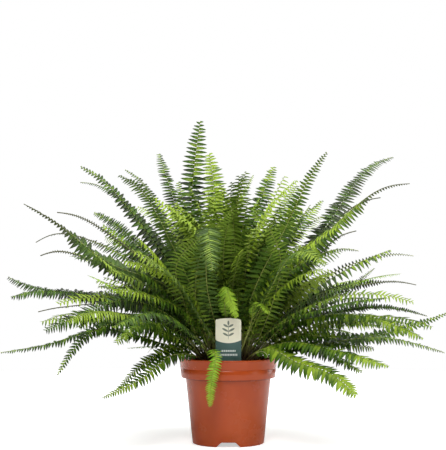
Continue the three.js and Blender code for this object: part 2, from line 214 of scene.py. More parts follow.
class MaterialGraph(Graph):
    """The node tree of a material.

    Attributes:
        material: The material that the tree belongs to.
        place: The piece's own coordinates.
    """

    def __init__(self, name: str) -> None:
        """Makes an empty material.

        Args:
            name: The material's name.
        """
        self.material = bpy.data.materials.new(name)
        self.material.use_nodes = True
        super().__init__(self.material.node_tree)
        self.place = self.out("ShaderNodeTexCoord", "Object")

    def attribute(self, name: str) -> Socket:
        """Reads a number that the mesh stores."""
        return self.out("ShaderNodeAttribute", "Fac", attribute_name=name)

    def noise(self, scale: float, detail: float) -> Socket:
        """Adds a noise from 0 to 1, with so many cells in a metre and so many finer layers."""
        inputs = {"Vector": self.place, "Scale": scale, "Detail": detail}
        return self.out("ShaderNodeTexNoise", "Fac", inputs)

    def uneven(self, scale: float, low: float, high: float, place: Optional[Socket] = None) -> Socket:
        """Places the shared group for soft, uneven masks, with so many patches in a metre."""
        inputs = {"Vector": place or self.place, "Scale": scale, "Low": low, "High": high}
        return self.out("ShaderNodeGroup", "Mask", inputs, node_tree=UNEVEN)

    def bump(self, height: Socket, strength: float, distance: float) -> Socket:
        """Turns a height from 0 to 1, which is so many metres high, into a normal."""
        inputs = {"Height": height, "Strength": strength, "Distance": distance}
        return self.out("ShaderNodeBump", "Normal", inputs)

    def shader(self, **inputs: Any) -> Socket:
        """Adds the main shader, with its inputs named by words joined by underscores."""
        named = {key.replace("_", " "): value for key, value in inputs.items()}
        return self.out("ShaderNodeBsdfPrincipled", "BSDF", named)

    def finish(self, surface: Socket) -> Material:
        """Ends the tree with the shader that shows, and returns the material."""
        self.add("ShaderNodeOutputMaterial", {"Surface": surface})
        return self.material

    def coat(self, colour: Socket, rough: Any, normal: Socket, **more: Any) -> Material:
        """Ends the tree with the main shader alone, and returns the material."""
        return self.finish(self.shader(Base_Color=colour, Roughness=rough, Normal=normal, **more))


# Finishes


@dataclass(frozen=True)
class LeafFinish:
    """Finish of leaflets: green blades with a sunken midvein, side veins and spore dots below.

    A leaflet's level of green runs from deep at 0 over mid at 0.5 to fresh at 1. The constants say how
    far its own tint, patches and its length move that level, and how far painted shade darkens its edge.
    """

    name: str  # Name of the material
    deep: Colour  # Colour of the darkest leaflets
    mid: Colour  # Colour of the usual leaflets
    fresh: Colour  # Colour of the lightest leaflets
    underside: Colour  # Colour of the lower face
    vein: Colour  # Colour of the midvein
    painted_sheen_colour: Colour = paint(112, 128, 88)  # Colour of the painted grey sheen on the upper faces
    dry: Colour = paint(58, 64, 34)  # Colour of the thinned out tips
    spore: Colour = paint(96, 62, 30)  # Colour of the spore dots
    gloss: float = 0.34  # Roughness of the upper face
    passes: float = 0.17  # Share of the light that goes through the blade
    spores: float = 0.7  # How strongly the spore dots show below

    TINT_REACH = 0.28
    PATCH_REACH = 0.12
    BASE_LEVEL = 0.14
    TIP_LEVEL = -0.16
    PAINTED_EDGE_SHADE = -0.16
    VEIN_PAIRS = 13
    VEIN_SLANT = -0.16
    DOTS_IN_A_ROW = 9.0

    def make(self) -> Material:
        """Builds the material.

        Returns:
            The material.
        """
        graph = MaterialGraph(self.name)
        names = ("share", "tint", "tone", "glow", "haze", "wither", "under")
        share, tint, tone, glow, haze, wither, under = map(graph.attribute, names)
        along, side, _ = graph.split(graph.out("ShaderNodeUVMap", "UV", uv_map="leaflet"))
        across = graph.math("ABSOLUTE", graph.linear(side, 2.0, -1.0))
        patches = graph.uneven(14.0, 0.3, 0.7)
        level = graph.plus(graph.swing(tint, self.TINT_REACH), tone)
        level = graph.plus(graph.swing(patches, self.PATCH_REACH), level)
        level = graph.plus(graph.ramp(along, 0.0, 0.9, self.BASE_LEVEL, self.TIP_LEVEL), level)
        # Painted shade: each leaflet darkens towards its edges, where its neighbours would shade it.
        level = graph.plus(graph.ramp(across, 0.5, 1.0, 0.0, self.PAINTED_EDGE_SHADE), level)
        level = graph.plus(graph.times(graph.ramp(share, 0.6, 1.0), glow), level)
        level = graph.math("MAXIMUM", level, 0.0)
        colour = graph.blend(self.deep, self.mid, graph.math("MULTIPLY", level, 2.0, clamp=True))
        colour = graph.blend(colour, self.fresh, graph.math("MULTIPLY_ADD", level, 2.0, -1.0, clamp=True))
        slanted = graph.linear(across, self.VEIN_SLANT, along)
        veins = graph.ramp(graph.math("SINE", graph.times(slanted, 2 * math.pi * self.VEIN_PAIRS)), 0.55, 1.0)
        rib = graph.ramp(across, 0.02, 0.13, 1.0, 0.0)
        colour = graph.blend(colour, self.deep, graph.times(veins, 0.25))
        # Painted sheen: the upper face blends towards grey-green where the light would reflect off it.
        colour = graph.blend(colour, self.painted_sheen_colour, haze)
        colour = graph.blend(colour, self.vein, graph.times(rib, 0.35))
        below = graph.blend(self.underside, self.vein, graph.times(rib, 0.5))
        below = graph.blend(below, self.spore, self.dots(graph, along, across, tint))
        colour = graph.blend(colour, below, graph.times(under, 0.6))
        colour = graph.blend(colour, self.dry, graph.times(wither, 0.8))
        rough = graph.linear(patches, 0.08, graph.linear(under, 0.2, self.gloss))
        height = graph.math("SUBTRACT", graph.times(veins, -0.5), rib)
        normal = graph.bump(height, 0.45, 0.35 * MM)
        face = graph.shader(Base_Color=colour, Roughness=rough, Normal=normal, Specular_IOR_Level=0.2)
        lit = graph.blend(colour, self.fresh, 0.35)
        through = graph.out("ShaderNodeBsdfTranslucent", "BSDF", {"Color": lit, "Normal": normal})
        return graph.finish(graph.out("ShaderNodeMixShader", "Shader", {0: self.passes, 1: face, 2: through}))

    def dots(self, graph: Graph, along: Socket, across: Socket, tint: Socket) -> Socket:
        """Draws the two rows of spore dots below a ripe leaflet.

        Args:
            graph: The material's tree.
            along: Share of the leaflet's length.
            across: Share of the way from the midvein to the edge.
            tint: Random number of the leaflet, which says if it is ripe.

        Returns:
            A mask that is 1 on a dot.
        """
        cell = graph.math("FRACT", graph.times(along, self.DOTS_IN_A_ROW))
        cell = graph.math("SUBTRACT", cell, 0.5)
        away = graph.linear(across, 1.6, -1.0)
        square = graph.linear(cell, cell, graph.times(away, away))
        ripe = graph.times(graph.ramp(tint, 0.45, 0.55), self.spores)
        return graph.times(graph.ramp(graph.math("SQRT", square), 0.16, 0.28, 1.0, 0.0), ripe)


@dataclass(frozen=True)
class StalkFinish:
    """Finish of midribs and stalks: brown and scaly at the foot, then straw green."""

    name: str  # Name of the material
    foot: Colour  # Colour where the stalk leaves the crown
    stem: Colour  # Colour of the midrib
    tip: Colour  # Colour at the frond's tip
    dry: Colour = paint(62, 62, 40)  # Colour of a thinned out tip

    def make(self) -> Material:
        """Builds the material.

        Returns:
            The material.
        """
        graph = MaterialGraph(self.name)
        share, wither = graph.attribute("share"), graph.attribute("wither")
        streaks = graph.uneven(260.0, 0.35, 0.65)
        colour = graph.blend(self.foot, self.stem, graph.ramp(share, 0.02, 0.2))
        colour = graph.blend(colour, self.tip, graph.ramp(share, 0.7, 1.0))
        colour = graph.blend(colour, self.dry, graph.times(wither, 0.85))
        colour = graph.blend(colour, self.foot, graph.times(streaks, 0.2))
        normal = graph.bump(streaks, 0.3, 0.3 * MM)
        return graph.coat(colour, 0.5, normal)


@dataclass(frozen=True)
class MouldedPlastic:
    """Finish of the pot: semi-gloss coloured plastic with faint clouds, flow lines and fine specks."""

    name: str  # Name of the material
    body: Colour  # Main colour
    warm: Colour  # Colour of the lighter clouds
    dust: Colour  # Colour of the dry film in places
    speck: Colour  # Colour of the fine specks
    painted_ledge_shade: Colour  # Colour of the thin painted shade line under the band's ledge
    roughness: float  # Roughness of the clean surface
    ledge: float  # Height in metres of the ledge; the painted shade line under it is soft below and sharp above

    def make(self) -> Material:
        """Builds the material.

        Returns:
            The material.
        """
        graph = MaterialGraph(self.name)
        clouds = graph.uneven(9.0, 0.35, 0.7)
        flow = graph.uneven(70.0, 0.35, 0.75, graph.vector("MULTIPLY", graph.place, (1.0, 1.0, 0.12)))
        specks = graph.uneven(900.0, 0.66, 0.74)
        film = graph.uneven(22.0, 0.52, 0.85)
        colour = graph.blend(self.body, self.warm, graph.times(clouds, 0.55))
        colour = graph.blend(colour, self.warm, graph.times(flow, 0.18))
        colour = graph.blend(colour, self.dust, graph.times(film, 0.07))
        colour = graph.blend(colour, self.speck, graph.times(specks, 0.25))
        # Painted shade: a thin dark ring just under the band's ledge, where the band would shade the wall.
        height = graph.split(graph.place)[2]
        soft = graph.ramp(height, self.ledge - 3.2 * MM, self.ledge - 1.4 * MM)
        sharp = graph.ramp(height, self.ledge - 0.2 * MM, self.ledge + 0.2 * MM, 1.0, 0.0)
        colour = graph.blend(colour, self.painted_ledge_shade, graph.times(graph.times(soft, sharp), 0.6))
        rough = graph.linear(film, 0.14, self.roughness)
        relief = graph.plus(graph.noise(1400.0, 2.0), graph.times(flow, 1.2))
        normal = graph.bump(relief, 0.12, 0.2 * MM)
        return graph.coat(colour, rough, normal, IOR=1.5, Specular_IOR_Level=0.3)


@dataclass(frozen=True)
class EarthFinish:
    """Finish of peat, scales and other dark crumbly stuff."""

    name: str  # Name of the material
    dark: Colour  # Colour of the hollows
    light: Colour  # Colour of the dry high spots
    scale: float  # Number of crumbs in a metre
    relief: float  # Height of the crumbs in metres

    def make(self) -> Material:
        """Builds the material.

        Returns:
            The material.
        """
        graph = MaterialGraph(self.name)
        crumbs = graph.uneven(self.scale, 0.35, 0.7)
        fibres = graph.noise(self.scale * 4, 5.0)
        colour = graph.blend(self.dark, self.light, graph.times(crumbs, fibres))
        normal = graph.bump(graph.plus(crumbs, fibres), 0.8, self.relief)
        return graph.coat(colour, 0.92, normal, Specular_IOR_Level=0.2)


@dataclass(frozen=True)
class PrintedPlastic:
    """Finish of the label: a cream panel that ends in a bowed edge above a dark panel."""

    name: str  # Name of the material
    panel: tuple[Colour, Colour]  # Colour of the upper panel, and its paler clouds
    lower: tuple[Colour, Colour]  # Colour of the lower panel, and its paler clouds
    drawing: Colour  # Colour of the sprig on the upper panel
    blocks: Colour  # Colour of the blocks on the lower panel
    edge_height: float  # Height of the panels' edge at the label's sides, in metres
    edge_bow: float  # How far the edge bows down in the middle, in metres
    half_width: float  # Half the label's width, in metres
    stem: Pair = (192.0, 13.0)  # Height of the middle of the sprig's stem and half its length, in mm
    top_leaf: Pair = (206.5, 4.0)  # The same of the leaf at the top
    # Height of each pair of leaves and half a leaf's length, in mm
    leaf_pairs: tuple[Pair, ...] = ((200.5, 4.6), (193.5, 5.6), (186.0, 5.0))
    # Height, half length, half height and pitch of the blocks of each line, in mm
    lines: tuple[tuple[float, ...], ...] = ((160.0, 12.0, 1.5, 3.1), (153.5, 15.5, 1.7, 2.7))

    def make(self) -> Material:
        """Builds the material.

        Returns:
            The material.
        """
        graph = MaterialGraph(self.name)
        x, _, z = graph.split(graph.place)
        clouds = graph.uneven(60.0, 0.35, 0.7)
        pale = graph.times(clouds, 0.5)
        upper = graph.blend(*self.panel, pale)
        upper = graph.blend(upper, self.drawing, graph.times(self.sprig(graph, x, z), 0.85))
        lower = graph.blend(*self.lower, pale)
        lower = graph.blend(lower, self.blocks, graph.times(self.block_lines(graph, x, z), 0.85))
        off = graph.math("DIVIDE", x, self.half_width)
        bow = graph.linear(graph.times(off, off), self.edge_bow, -self.edge_bow)
        above = graph.math("SUBTRACT", z, graph.plus(bow, self.edge_height))
        printed = graph.blend(lower, upper, graph.ramp(above, -0.3 * MM, 0.3 * MM))
        facing = graph.split(graph.out("ShaderNodeNewGeometry", "Normal"))[1]
        colour = graph.blend(self.panel[0], printed, graph.ramp(facing, -0.5, 0.0, 1.0, 0.0))
        normal = graph.bump(graph.noise(2500.0, 2.0), 0.08, 0.1 * MM)
        rough = graph.linear(clouds, 0.08, 0.38)
        return graph.coat(colour, rough, normal)

    def sprig(self, graph: Graph, x: Socket, z: Socket) -> Socket:
        """Draws a plain sprig: a stem with pairs of leaves and one at the top.

        Args:
            graph: The material's tree.
            x: Place across the label, in metres.
            z: Height, in metres.

        Returns:
            A mask that is 1 on the drawing.
        """
        ovals = [(0.0, *self.top_leaf, 1.6, 0.0), (0.0, *self.stem, 0.45, 0.0)]
        for height, length in self.leaf_pairs:
            ovals += [(side * length * 0.95, height + 1.5, length, 1.7, side * 62.0) for side in (1, -1)]
        masks = []
        for middle, height, length, width, lean in ovals:
            right = graph.math("SUBTRACT", x, middle * MM)
            up = graph.math("SUBTRACT", z, height * MM)
            sine, cosine = math.sin(math.radians(lean)), math.cos(math.radians(lean))
            along = graph.plus(graph.times(right, sine / (length * MM)),
                               graph.times(up, cosine / (length * MM)))
            across = graph.math("SUBTRACT", graph.times(right, cosine / (width * MM)),
                                graph.times(up, sine / (width * MM)))
            square = graph.linear(along, along, graph.times(across, across))
            masks.append(graph.ramp(square, 0.8, 1.2, 1.0, 0.0))
        return reduce(partial(graph.math, "MAXIMUM"), masks)

    def block_lines(self, graph: Graph, x: Socket, z: Socket) -> Socket:
        """Draws lines of small pale blocks, as words look from afar.

        Args:
            graph: The material's tree.
            x: Place across the label, in metres.
            z: Height, in metres.

        Returns:
            A mask that is 1 on a block.
        """
        masks = []
        away = graph.math("ABSOLUTE", x)
        for height, half_length, half_height, pitch in self.lines:
            off = graph.math("ABSOLUTE", graph.math("SUBTRACT", z, height * MM))
            row = graph.ramp(off, half_height * 0.9 * MM, half_height * 1.1 * MM, 1.0, 0.0)
            inside = graph.ramp(away, half_length * MM, (half_length + 0.2) * MM, 1.0, 0.0)
            cell = graph.math("FRACT", graph.math("DIVIDE", graph.plus(x, 1.0), pitch * MM))
            from_middle = graph.math("ABSOLUTE", graph.math("SUBTRACT", cell, 0.5))
            block = graph.ramp(from_middle, 0.34, 0.42, 1.0, 0.0)
            masks.append(graph.times(graph.times(row, inside), block))
        return reduce(partial(graph.math, "MAXIMUM"), masks)


@dataclass(frozen=True)
class PlainFinish:
    """Finish of small plain things, with a little unevenness."""

    name: str  # Name of the material
    colour: Colour  # Main colour
    shade: Colour  # Colour of the darker places
    roughness: float  # Roughness

    def make(self) -> Material:
        """Builds the material.

        Returns:
            The material.
        """
        graph = MaterialGraph(self.name)
        clouds = graph.uneven(400.0, 0.35, 0.7)
        colour = graph.blend(self.colour, self.shade, clouds)
        normal = graph.bump(clouds, 0.4, 0.4 * MM)
        return graph.coat(colour, self.roughness, normal)


# Meshes


def mesh_object(name: str, vertices: Sequence, faces: Sequence, edges: Sequence = ()) -> Object:
    """Makes an object that isn't in the scene yet.

    Args:
        name: Name of the object and its mesh.
        vertices: Points in metres.
        faces: Corners of each face.
        edges: Ends of each loose edge.

    Returns:
        The object.
    """
    mesh = bpy.data.meshes.new(name)
    mesh.from_pydata([tuple(map(float, point)) for point in vertices], list(edges), list(faces))
    mesh.update()
    return bpy.data.objects.new(name, mesh)


def circle(radius: float, count: int) -> list[Pair]:
    """Gives points evenly round a circle about the origin."""
    angles = [2 * math.pi * index / count for index in range(count)]
    return [(radius * math.cos(angle), radius * math.sin(angle)) for angle in angles]


def pairs(count: int) -> list[tuple[int, int]]:
    """Lists every number below a count, each with the next one round the ring."""
    return [(here, (here + 1) % count) for here in range(count)]


def evaluated_mesh(carrier: Object) -> bpy.types.Mesh:
    """Makes a plain mesh of an object in the scene, with its modifiers applied.

    Args:
        carrier: The object, which is removed.

    Returns:
        The mesh.
    """
    graph = bpy.context.evaluated_depsgraph_get()
    mesh = bpy.data.meshes.new_from_object(carrier.evaluated_get(graph), depsgraph=graph)
    carrier.modifiers.clear()
    bpy.data.objects.remove(carrier)
    return mesh


def add_piece(piece: Object, nodes: Sequence[str] = ()) -> None:
    """Puts a finished piece into the scene and onto its body, and reports it.

    Args:
        piece: The finished object.
        nodes: CAD nodes that it stands for.
    """
    bpy.context.scene.collection.objects.link(piece)
    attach(piece, BODY)
    if nodes:
        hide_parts(*nodes)
    LOG.info("%s: %d faces", piece.name, len(piece.data.polygons))


def joined(name: str, parts: Sequence[Object]) -> Object:
    """Joins several objects, not in the scene yet, into one.

    Args:
        name: Name of the result.
        parts: The objects, which are removed.

    Returns:
        The joined object, not in the scene yet.
    """
    scene = bpy.context.scene
    for part in parts:
        scene.collection.objects.link(part)
    whole = parts[0]
    with bpy.context.temp_override(active_object=whole, selected_editable_objects=list(parts)):
        bpy.ops.object.join()
    scene.collection.objects.unlink(whole)
    whole.name = name
    whole.data.name = name
    return whole


class Recipe(Graph):
    """A Geometry Nodes tree with named inputs, which makes a plain mesh of what it is applied to.

    Attributes:
        keys: Identifier of each named input.
        given: The outputs that hold the inputs' values.
    """

    KINDS = {float: "NodeSocketFloat", int: "NodeSocketInt"}

    def __init__(self, name: str, inputs: Mapping[str, Any]) -> None:
        """Makes the tree and its inputs.

        Args:
            name: Name of the tree.
            inputs: Each input's name, with a number as its default or the name of its socket type.
        """
        tree = bpy.data.node_groups.new(name, "GeometryNodeTree")
        tree.interface.new_socket("Geometry", in_out="INPUT", socket_type="NodeSocketGeometry")
        self.keys: dict[str, str] = {}
        for label, value in inputs.items():
            kind = value if isinstance(value, str) else self.KINDS[type(value)]
            socket = tree.interface.new_socket(label, in_out="INPUT", socket_type=kind)
            self.keys[label] = socket.identifier
            if not isinstance(value, str):
                socket.default_value = value
        tree.interface.new_socket("Geometry", in_out="OUTPUT", socket_type="NodeSocketGeometry")
        super().__init__(tree)
        self.given = self.add("NodeGroupInput").outputs

    def named(self, name: str, kind: str = "FLOAT") -> Socket:
        """Reads an attribute of the geometry."""
        return self.out("GeometryNodeInputNamedAttribute", "Attribute", {"Name": name}, data_type=kind)

    def store(self, geometry: Socket, name: str, value: Any) -> Socket:
        """Stores a number on the geometry's points, and returns the geometry."""
        inputs = {"Geometry": geometry, "Name": name, "Value": value}
        return self.out("GeometryNodeStoreNamedAttribute", "Geometry", inputs, data_type="FLOAT")

    def random(self, low: Any, high: Any, seed: Any, kind: str = "FLOAT") -> Socket:
        """Draws a random number or vector for each element."""
        inputs = {"Min": low, "Max": high, "Seed": seed}
        return self.out("FunctionNodeRandomValue", "Value", inputs, data_type=kind)

    def tube(self, line: Socket, radius: Socket, sides: int) -> Socket:
        """Gives a curve a round section and closed ends.

        Args:
            line: The curve.
            radius: Radius at each point.
            sides: Number of sides of the section.

        Returns:
            The tube's mesh.
        """
        ring = self.out("GeometryNodeCurvePrimitiveCircle", "Curve", {"Resolution": sides, "Radius": 1.0})
        inputs = {"Curve": line, "Profile Curve": ring, "Scale": radius, "Fill Caps": True}
        return self.out("GeometryNodeCurveToMesh", "Mesh", inputs)

    def instances(self, shapes: Socket, count: int, seed: Socket, points: Socket, turn: Socket,
                  scale: Socket) -> Socket:
        """Puts a random shape of a collection on each point.

        Args:
            shapes: The collection.
            count: Number of shapes in it.
            seed: Seed of the choice.
            points: The points.
            turn: Rotation of each shape.
            scale: Size of each shape.

        Returns:
            The instances.
        """
        source = {"Collection": shapes, "Separate Children": True, "Reset Children": True}
        shape = self.out("GeometryNodeCollectionInfo", "Instances", source)
        index = self.random(0, count - 1, seed, "INT")
        inputs = {"Points": points, "Instance": shape, "Pick Instance": True, "Instance Index": index,
                  "Rotation": turn, "Scale": scale}
        return self.out("GeometryNodeInstanceOnPoints", "Instances", inputs)

    def close(self, geometry: Socket, materials: Sequence[tuple[Any, Any]]) -> None:
        """Ends the tree: makes instances real, then sets the materials.

        Args:
            geometry: The geometry so far.
            materials: Pairs of material and selection.
        """
        geometry = self.out("GeometryNodeRealizeInstances", "Geometry", {"Geometry": geometry})
        for material, selection in materials:
            inputs = {"Geometry": geometry, "Selection": selection, "Material": material}
            geometry = self.out("GeometryNodeSetMaterial", "Geometry", inputs)
        self.add("NodeGroupOutput", {"Geometry": geometry})

    def apply(self, carrier: Object, name: str, values: Mapping[str, Any]) -> Object:
        """Runs the tree on an object and makes a plain mesh object of the result.

        Args:
            carrier: The object to run on, which is removed.
            name: Name of the result.
            values: Values of the named inputs.

        Returns:
            The new object, not in the scene yet.
        """
        bpy.context.scene.collection.objects.link(carrier)
        modifier = carrier.modifiers.new("recipe", "NODES")
        modifier.node_group = self.tree
        for label, value in values.items():
            modifier[self.keys[label]] = value
        rough_mesh = carrier.data
        mesh = evaluated_mesh(carrier)
        bpy.data.meshes.remove(rough_mesh)
        mesh.name = name
        return bpy.data.objects.new(name, mesh)


# Leaflets


class Side(Enum):
    """The side of the midrib that a leaflet grows on."""

    RIGHT = 1
    LEFT = -1


@dataclass(frozen=True)
class Leaflet:
    """One leaflet, a thin closed blade one unit long and one unit wide, scaled when it is placed.

    Each cross section has four vertices: the fore edge, the midvein above, the aft edge and the midvein
    below. One more vertex makes the tip.
    """

    stations: int = 7  # Number of cross sections
    sickle: float = 0.1  # How far the tip bends towards the frond's tip
    ear: float = 0.34  # How far the ear at the base stands out on the frond's tip side
    fold: float = 0.07  # How far the edges stand above the midvein
    arch: float = 0.1  # How far the tip hangs below the base
    thickness: float = 0.016  # Thickness at the midvein
    scallop: float = 0.05  # Depth of the scalloped edge
    bluntness: float = 2.1  # How far out the blade keeps its breadth

    LAST_STATION = 0.96  # Place of the last cross section before the tip
    EAR_PLACE = 0.07  # Place of the ear's middle
    EAR_LENGTH = 0.055  # How quickly the ear dies away along the blade
    EAR_REACH = 0.4  # Share of the ear's height that widens the blade
    NECK_BREADTH = 0.92  # Breadth of the blade at its foot beside the full one
    NECK_LENGTH = 0.1  # How slowly it reaches the full breadth
    AFT_BREADTH = 0.96  # Breadth of the aft half beside the fore half

    def half_widths(self, x: float, index: int) -> Pair:
        """Gives the blade's reach on both sides of the midvein.

        Args:
            x: Share of the leaflet's length.
            index: Number of the cross section.

        Returns:
            The reach towards the frond's tip and towards its foot.
        """
        taper = 0.5 * (1 - x ** self.bluntness) ** 0.9
        ear = self.ear * math.exp(-((x - self.EAR_PLACE) / self.EAR_LENGTH) ** 2)
        neck = min(1.0, self.NECK_BREADTH + x / self.NECK_LENGTH)
        wave = 1 + self.scallop * (1 if index % 2 else -1)
        return (taper + ear * self.EAR_REACH) * neck * wave, taper * self.AFT_BREADTH * neck * wave

    def build(self, name: str, side: Side) -> Object:
        """Builds the leaflet.

        Args:
            name: Name of the object.
            side: The side of the midrib that it grows on.

        Returns:
            The object, not in the scene.
        """
        vertices: list[Point] = []
        flip = side.value
        for index in range(self.stations):
            x = self.LAST_STATION * (index / (self.stations - 1)) ** 0.9
            fore, aft = self.half_widths(x, index)
            middle = self.sickle * x * x
            drop = -self.arch * x * x
            edge = drop + self.fold * (fore + aft)
            thick = self.thickness * (1 - 0.7 * x)
            vertices.append((x, flip * (middle + fore), edge))
            vertices.append((x, flip * middle, drop + thick / 2))
            vertices.append((x, flip * (middle - aft), edge))
            vertices.append((x, flip * middle, drop - thick / 2))
        vertices.append((1.0, flip * self.sickle, -self.arch))
        faces, under = self.faces()
        if side is Side.LEFT:
            faces = [tuple(reversed(face)) for face in faces]
        leaflet = mesh_object(name, vertices, faces)
        self.dress(leaflet.data, under)
        return leaflet

    def faces(self) -> tuple[list[Face], list[float]]:
        """Lists the faces of a leaflet on the right, and which of them look down.

        Returns:
            The faces and, for each, 1 if it belongs to the lower side.
        """
        faces: list[Face] = [(0, 1, 2, 3)]
        under = [0.0]
        tip = self.stations * 4
        for here in range(0, tip, 4):
            for corner, after in pairs(4):
                a, b = here + corner, here + after
                faces.append((a, tip, b) if here == tip - 4 else (a, a + 4, b + 4, b))
                under.append(1.0 if corner >= 2 else 0.0)
        return faces, under

    def dress(self, mesh: bpy.types.Mesh, under: Sequence[float]) -> None:
        """Gives the leaflet its own coordinates, its lower side mark and its sharp edge.

        Args:
            mesh: The leaflet's mesh.
            under: For each face, 1 if it belongs to the lower side.
        """
        across = (1.0, 0.5, 0.0, 0.5)
        layer = mesh.uv_layers.new(name="leaflet")
        for loop in mesh.loops:
            vertex = loop.vertex_index
            place = 0.5 if vertex == self.stations * 4 else across[vertex % 4]
            layer.data[loop.index].uv = (mesh.vertices[vertex].co.x, place)
        mark = mesh.attributes.new("under", "FLOAT", "FACE")
        mark.data.foreach_set("value", under)
        mesh.shade_smooth()
        sharp = mesh.attributes.new("sharp_edge", "BOOLEAN", "EDGE")
        rims = [all(vertex % 4 in (0, 2) for vertex in edge.vertices) for edge in mesh.edges]
        sharp.data.foreach_set("value", rims)


@dataclass
class LeafletSet:
    """The leaflets that a frond picks from: a few shapes for each side of the midrib."""

    name: str  # Name of the set
    shapes: Sequence[Leaflet]  # The shapes
    # The collection of built shapes for each side
    sides: dict[Side, bpy.types.Collection] = field(default_factory=dict)

    def __post_init__(self) -> None:
        """Builds every shape for both sides, in collections outside the scene."""
        for side in Side:
            collection = bpy.data.collections.new(f"{self.name}_{side.name.lower()}")
            for index, shape in enumerate(self.shapes):
                collection.objects.link(shape.build(f"{collection.name}_{index}", side))
            self.sides[side] = collection

    def remove(self) -> None:
        """Removes the shapes, once the fronds hold their own copies."""
        for collection in self.sides.values():
            for leaflet in list(collection.objects):
                mesh = leaflet.data
                bpy.data.objects.remove(leaflet)
                bpy.data.meshes.remove(mesh)
            bpy.data.collections.remove(collection)


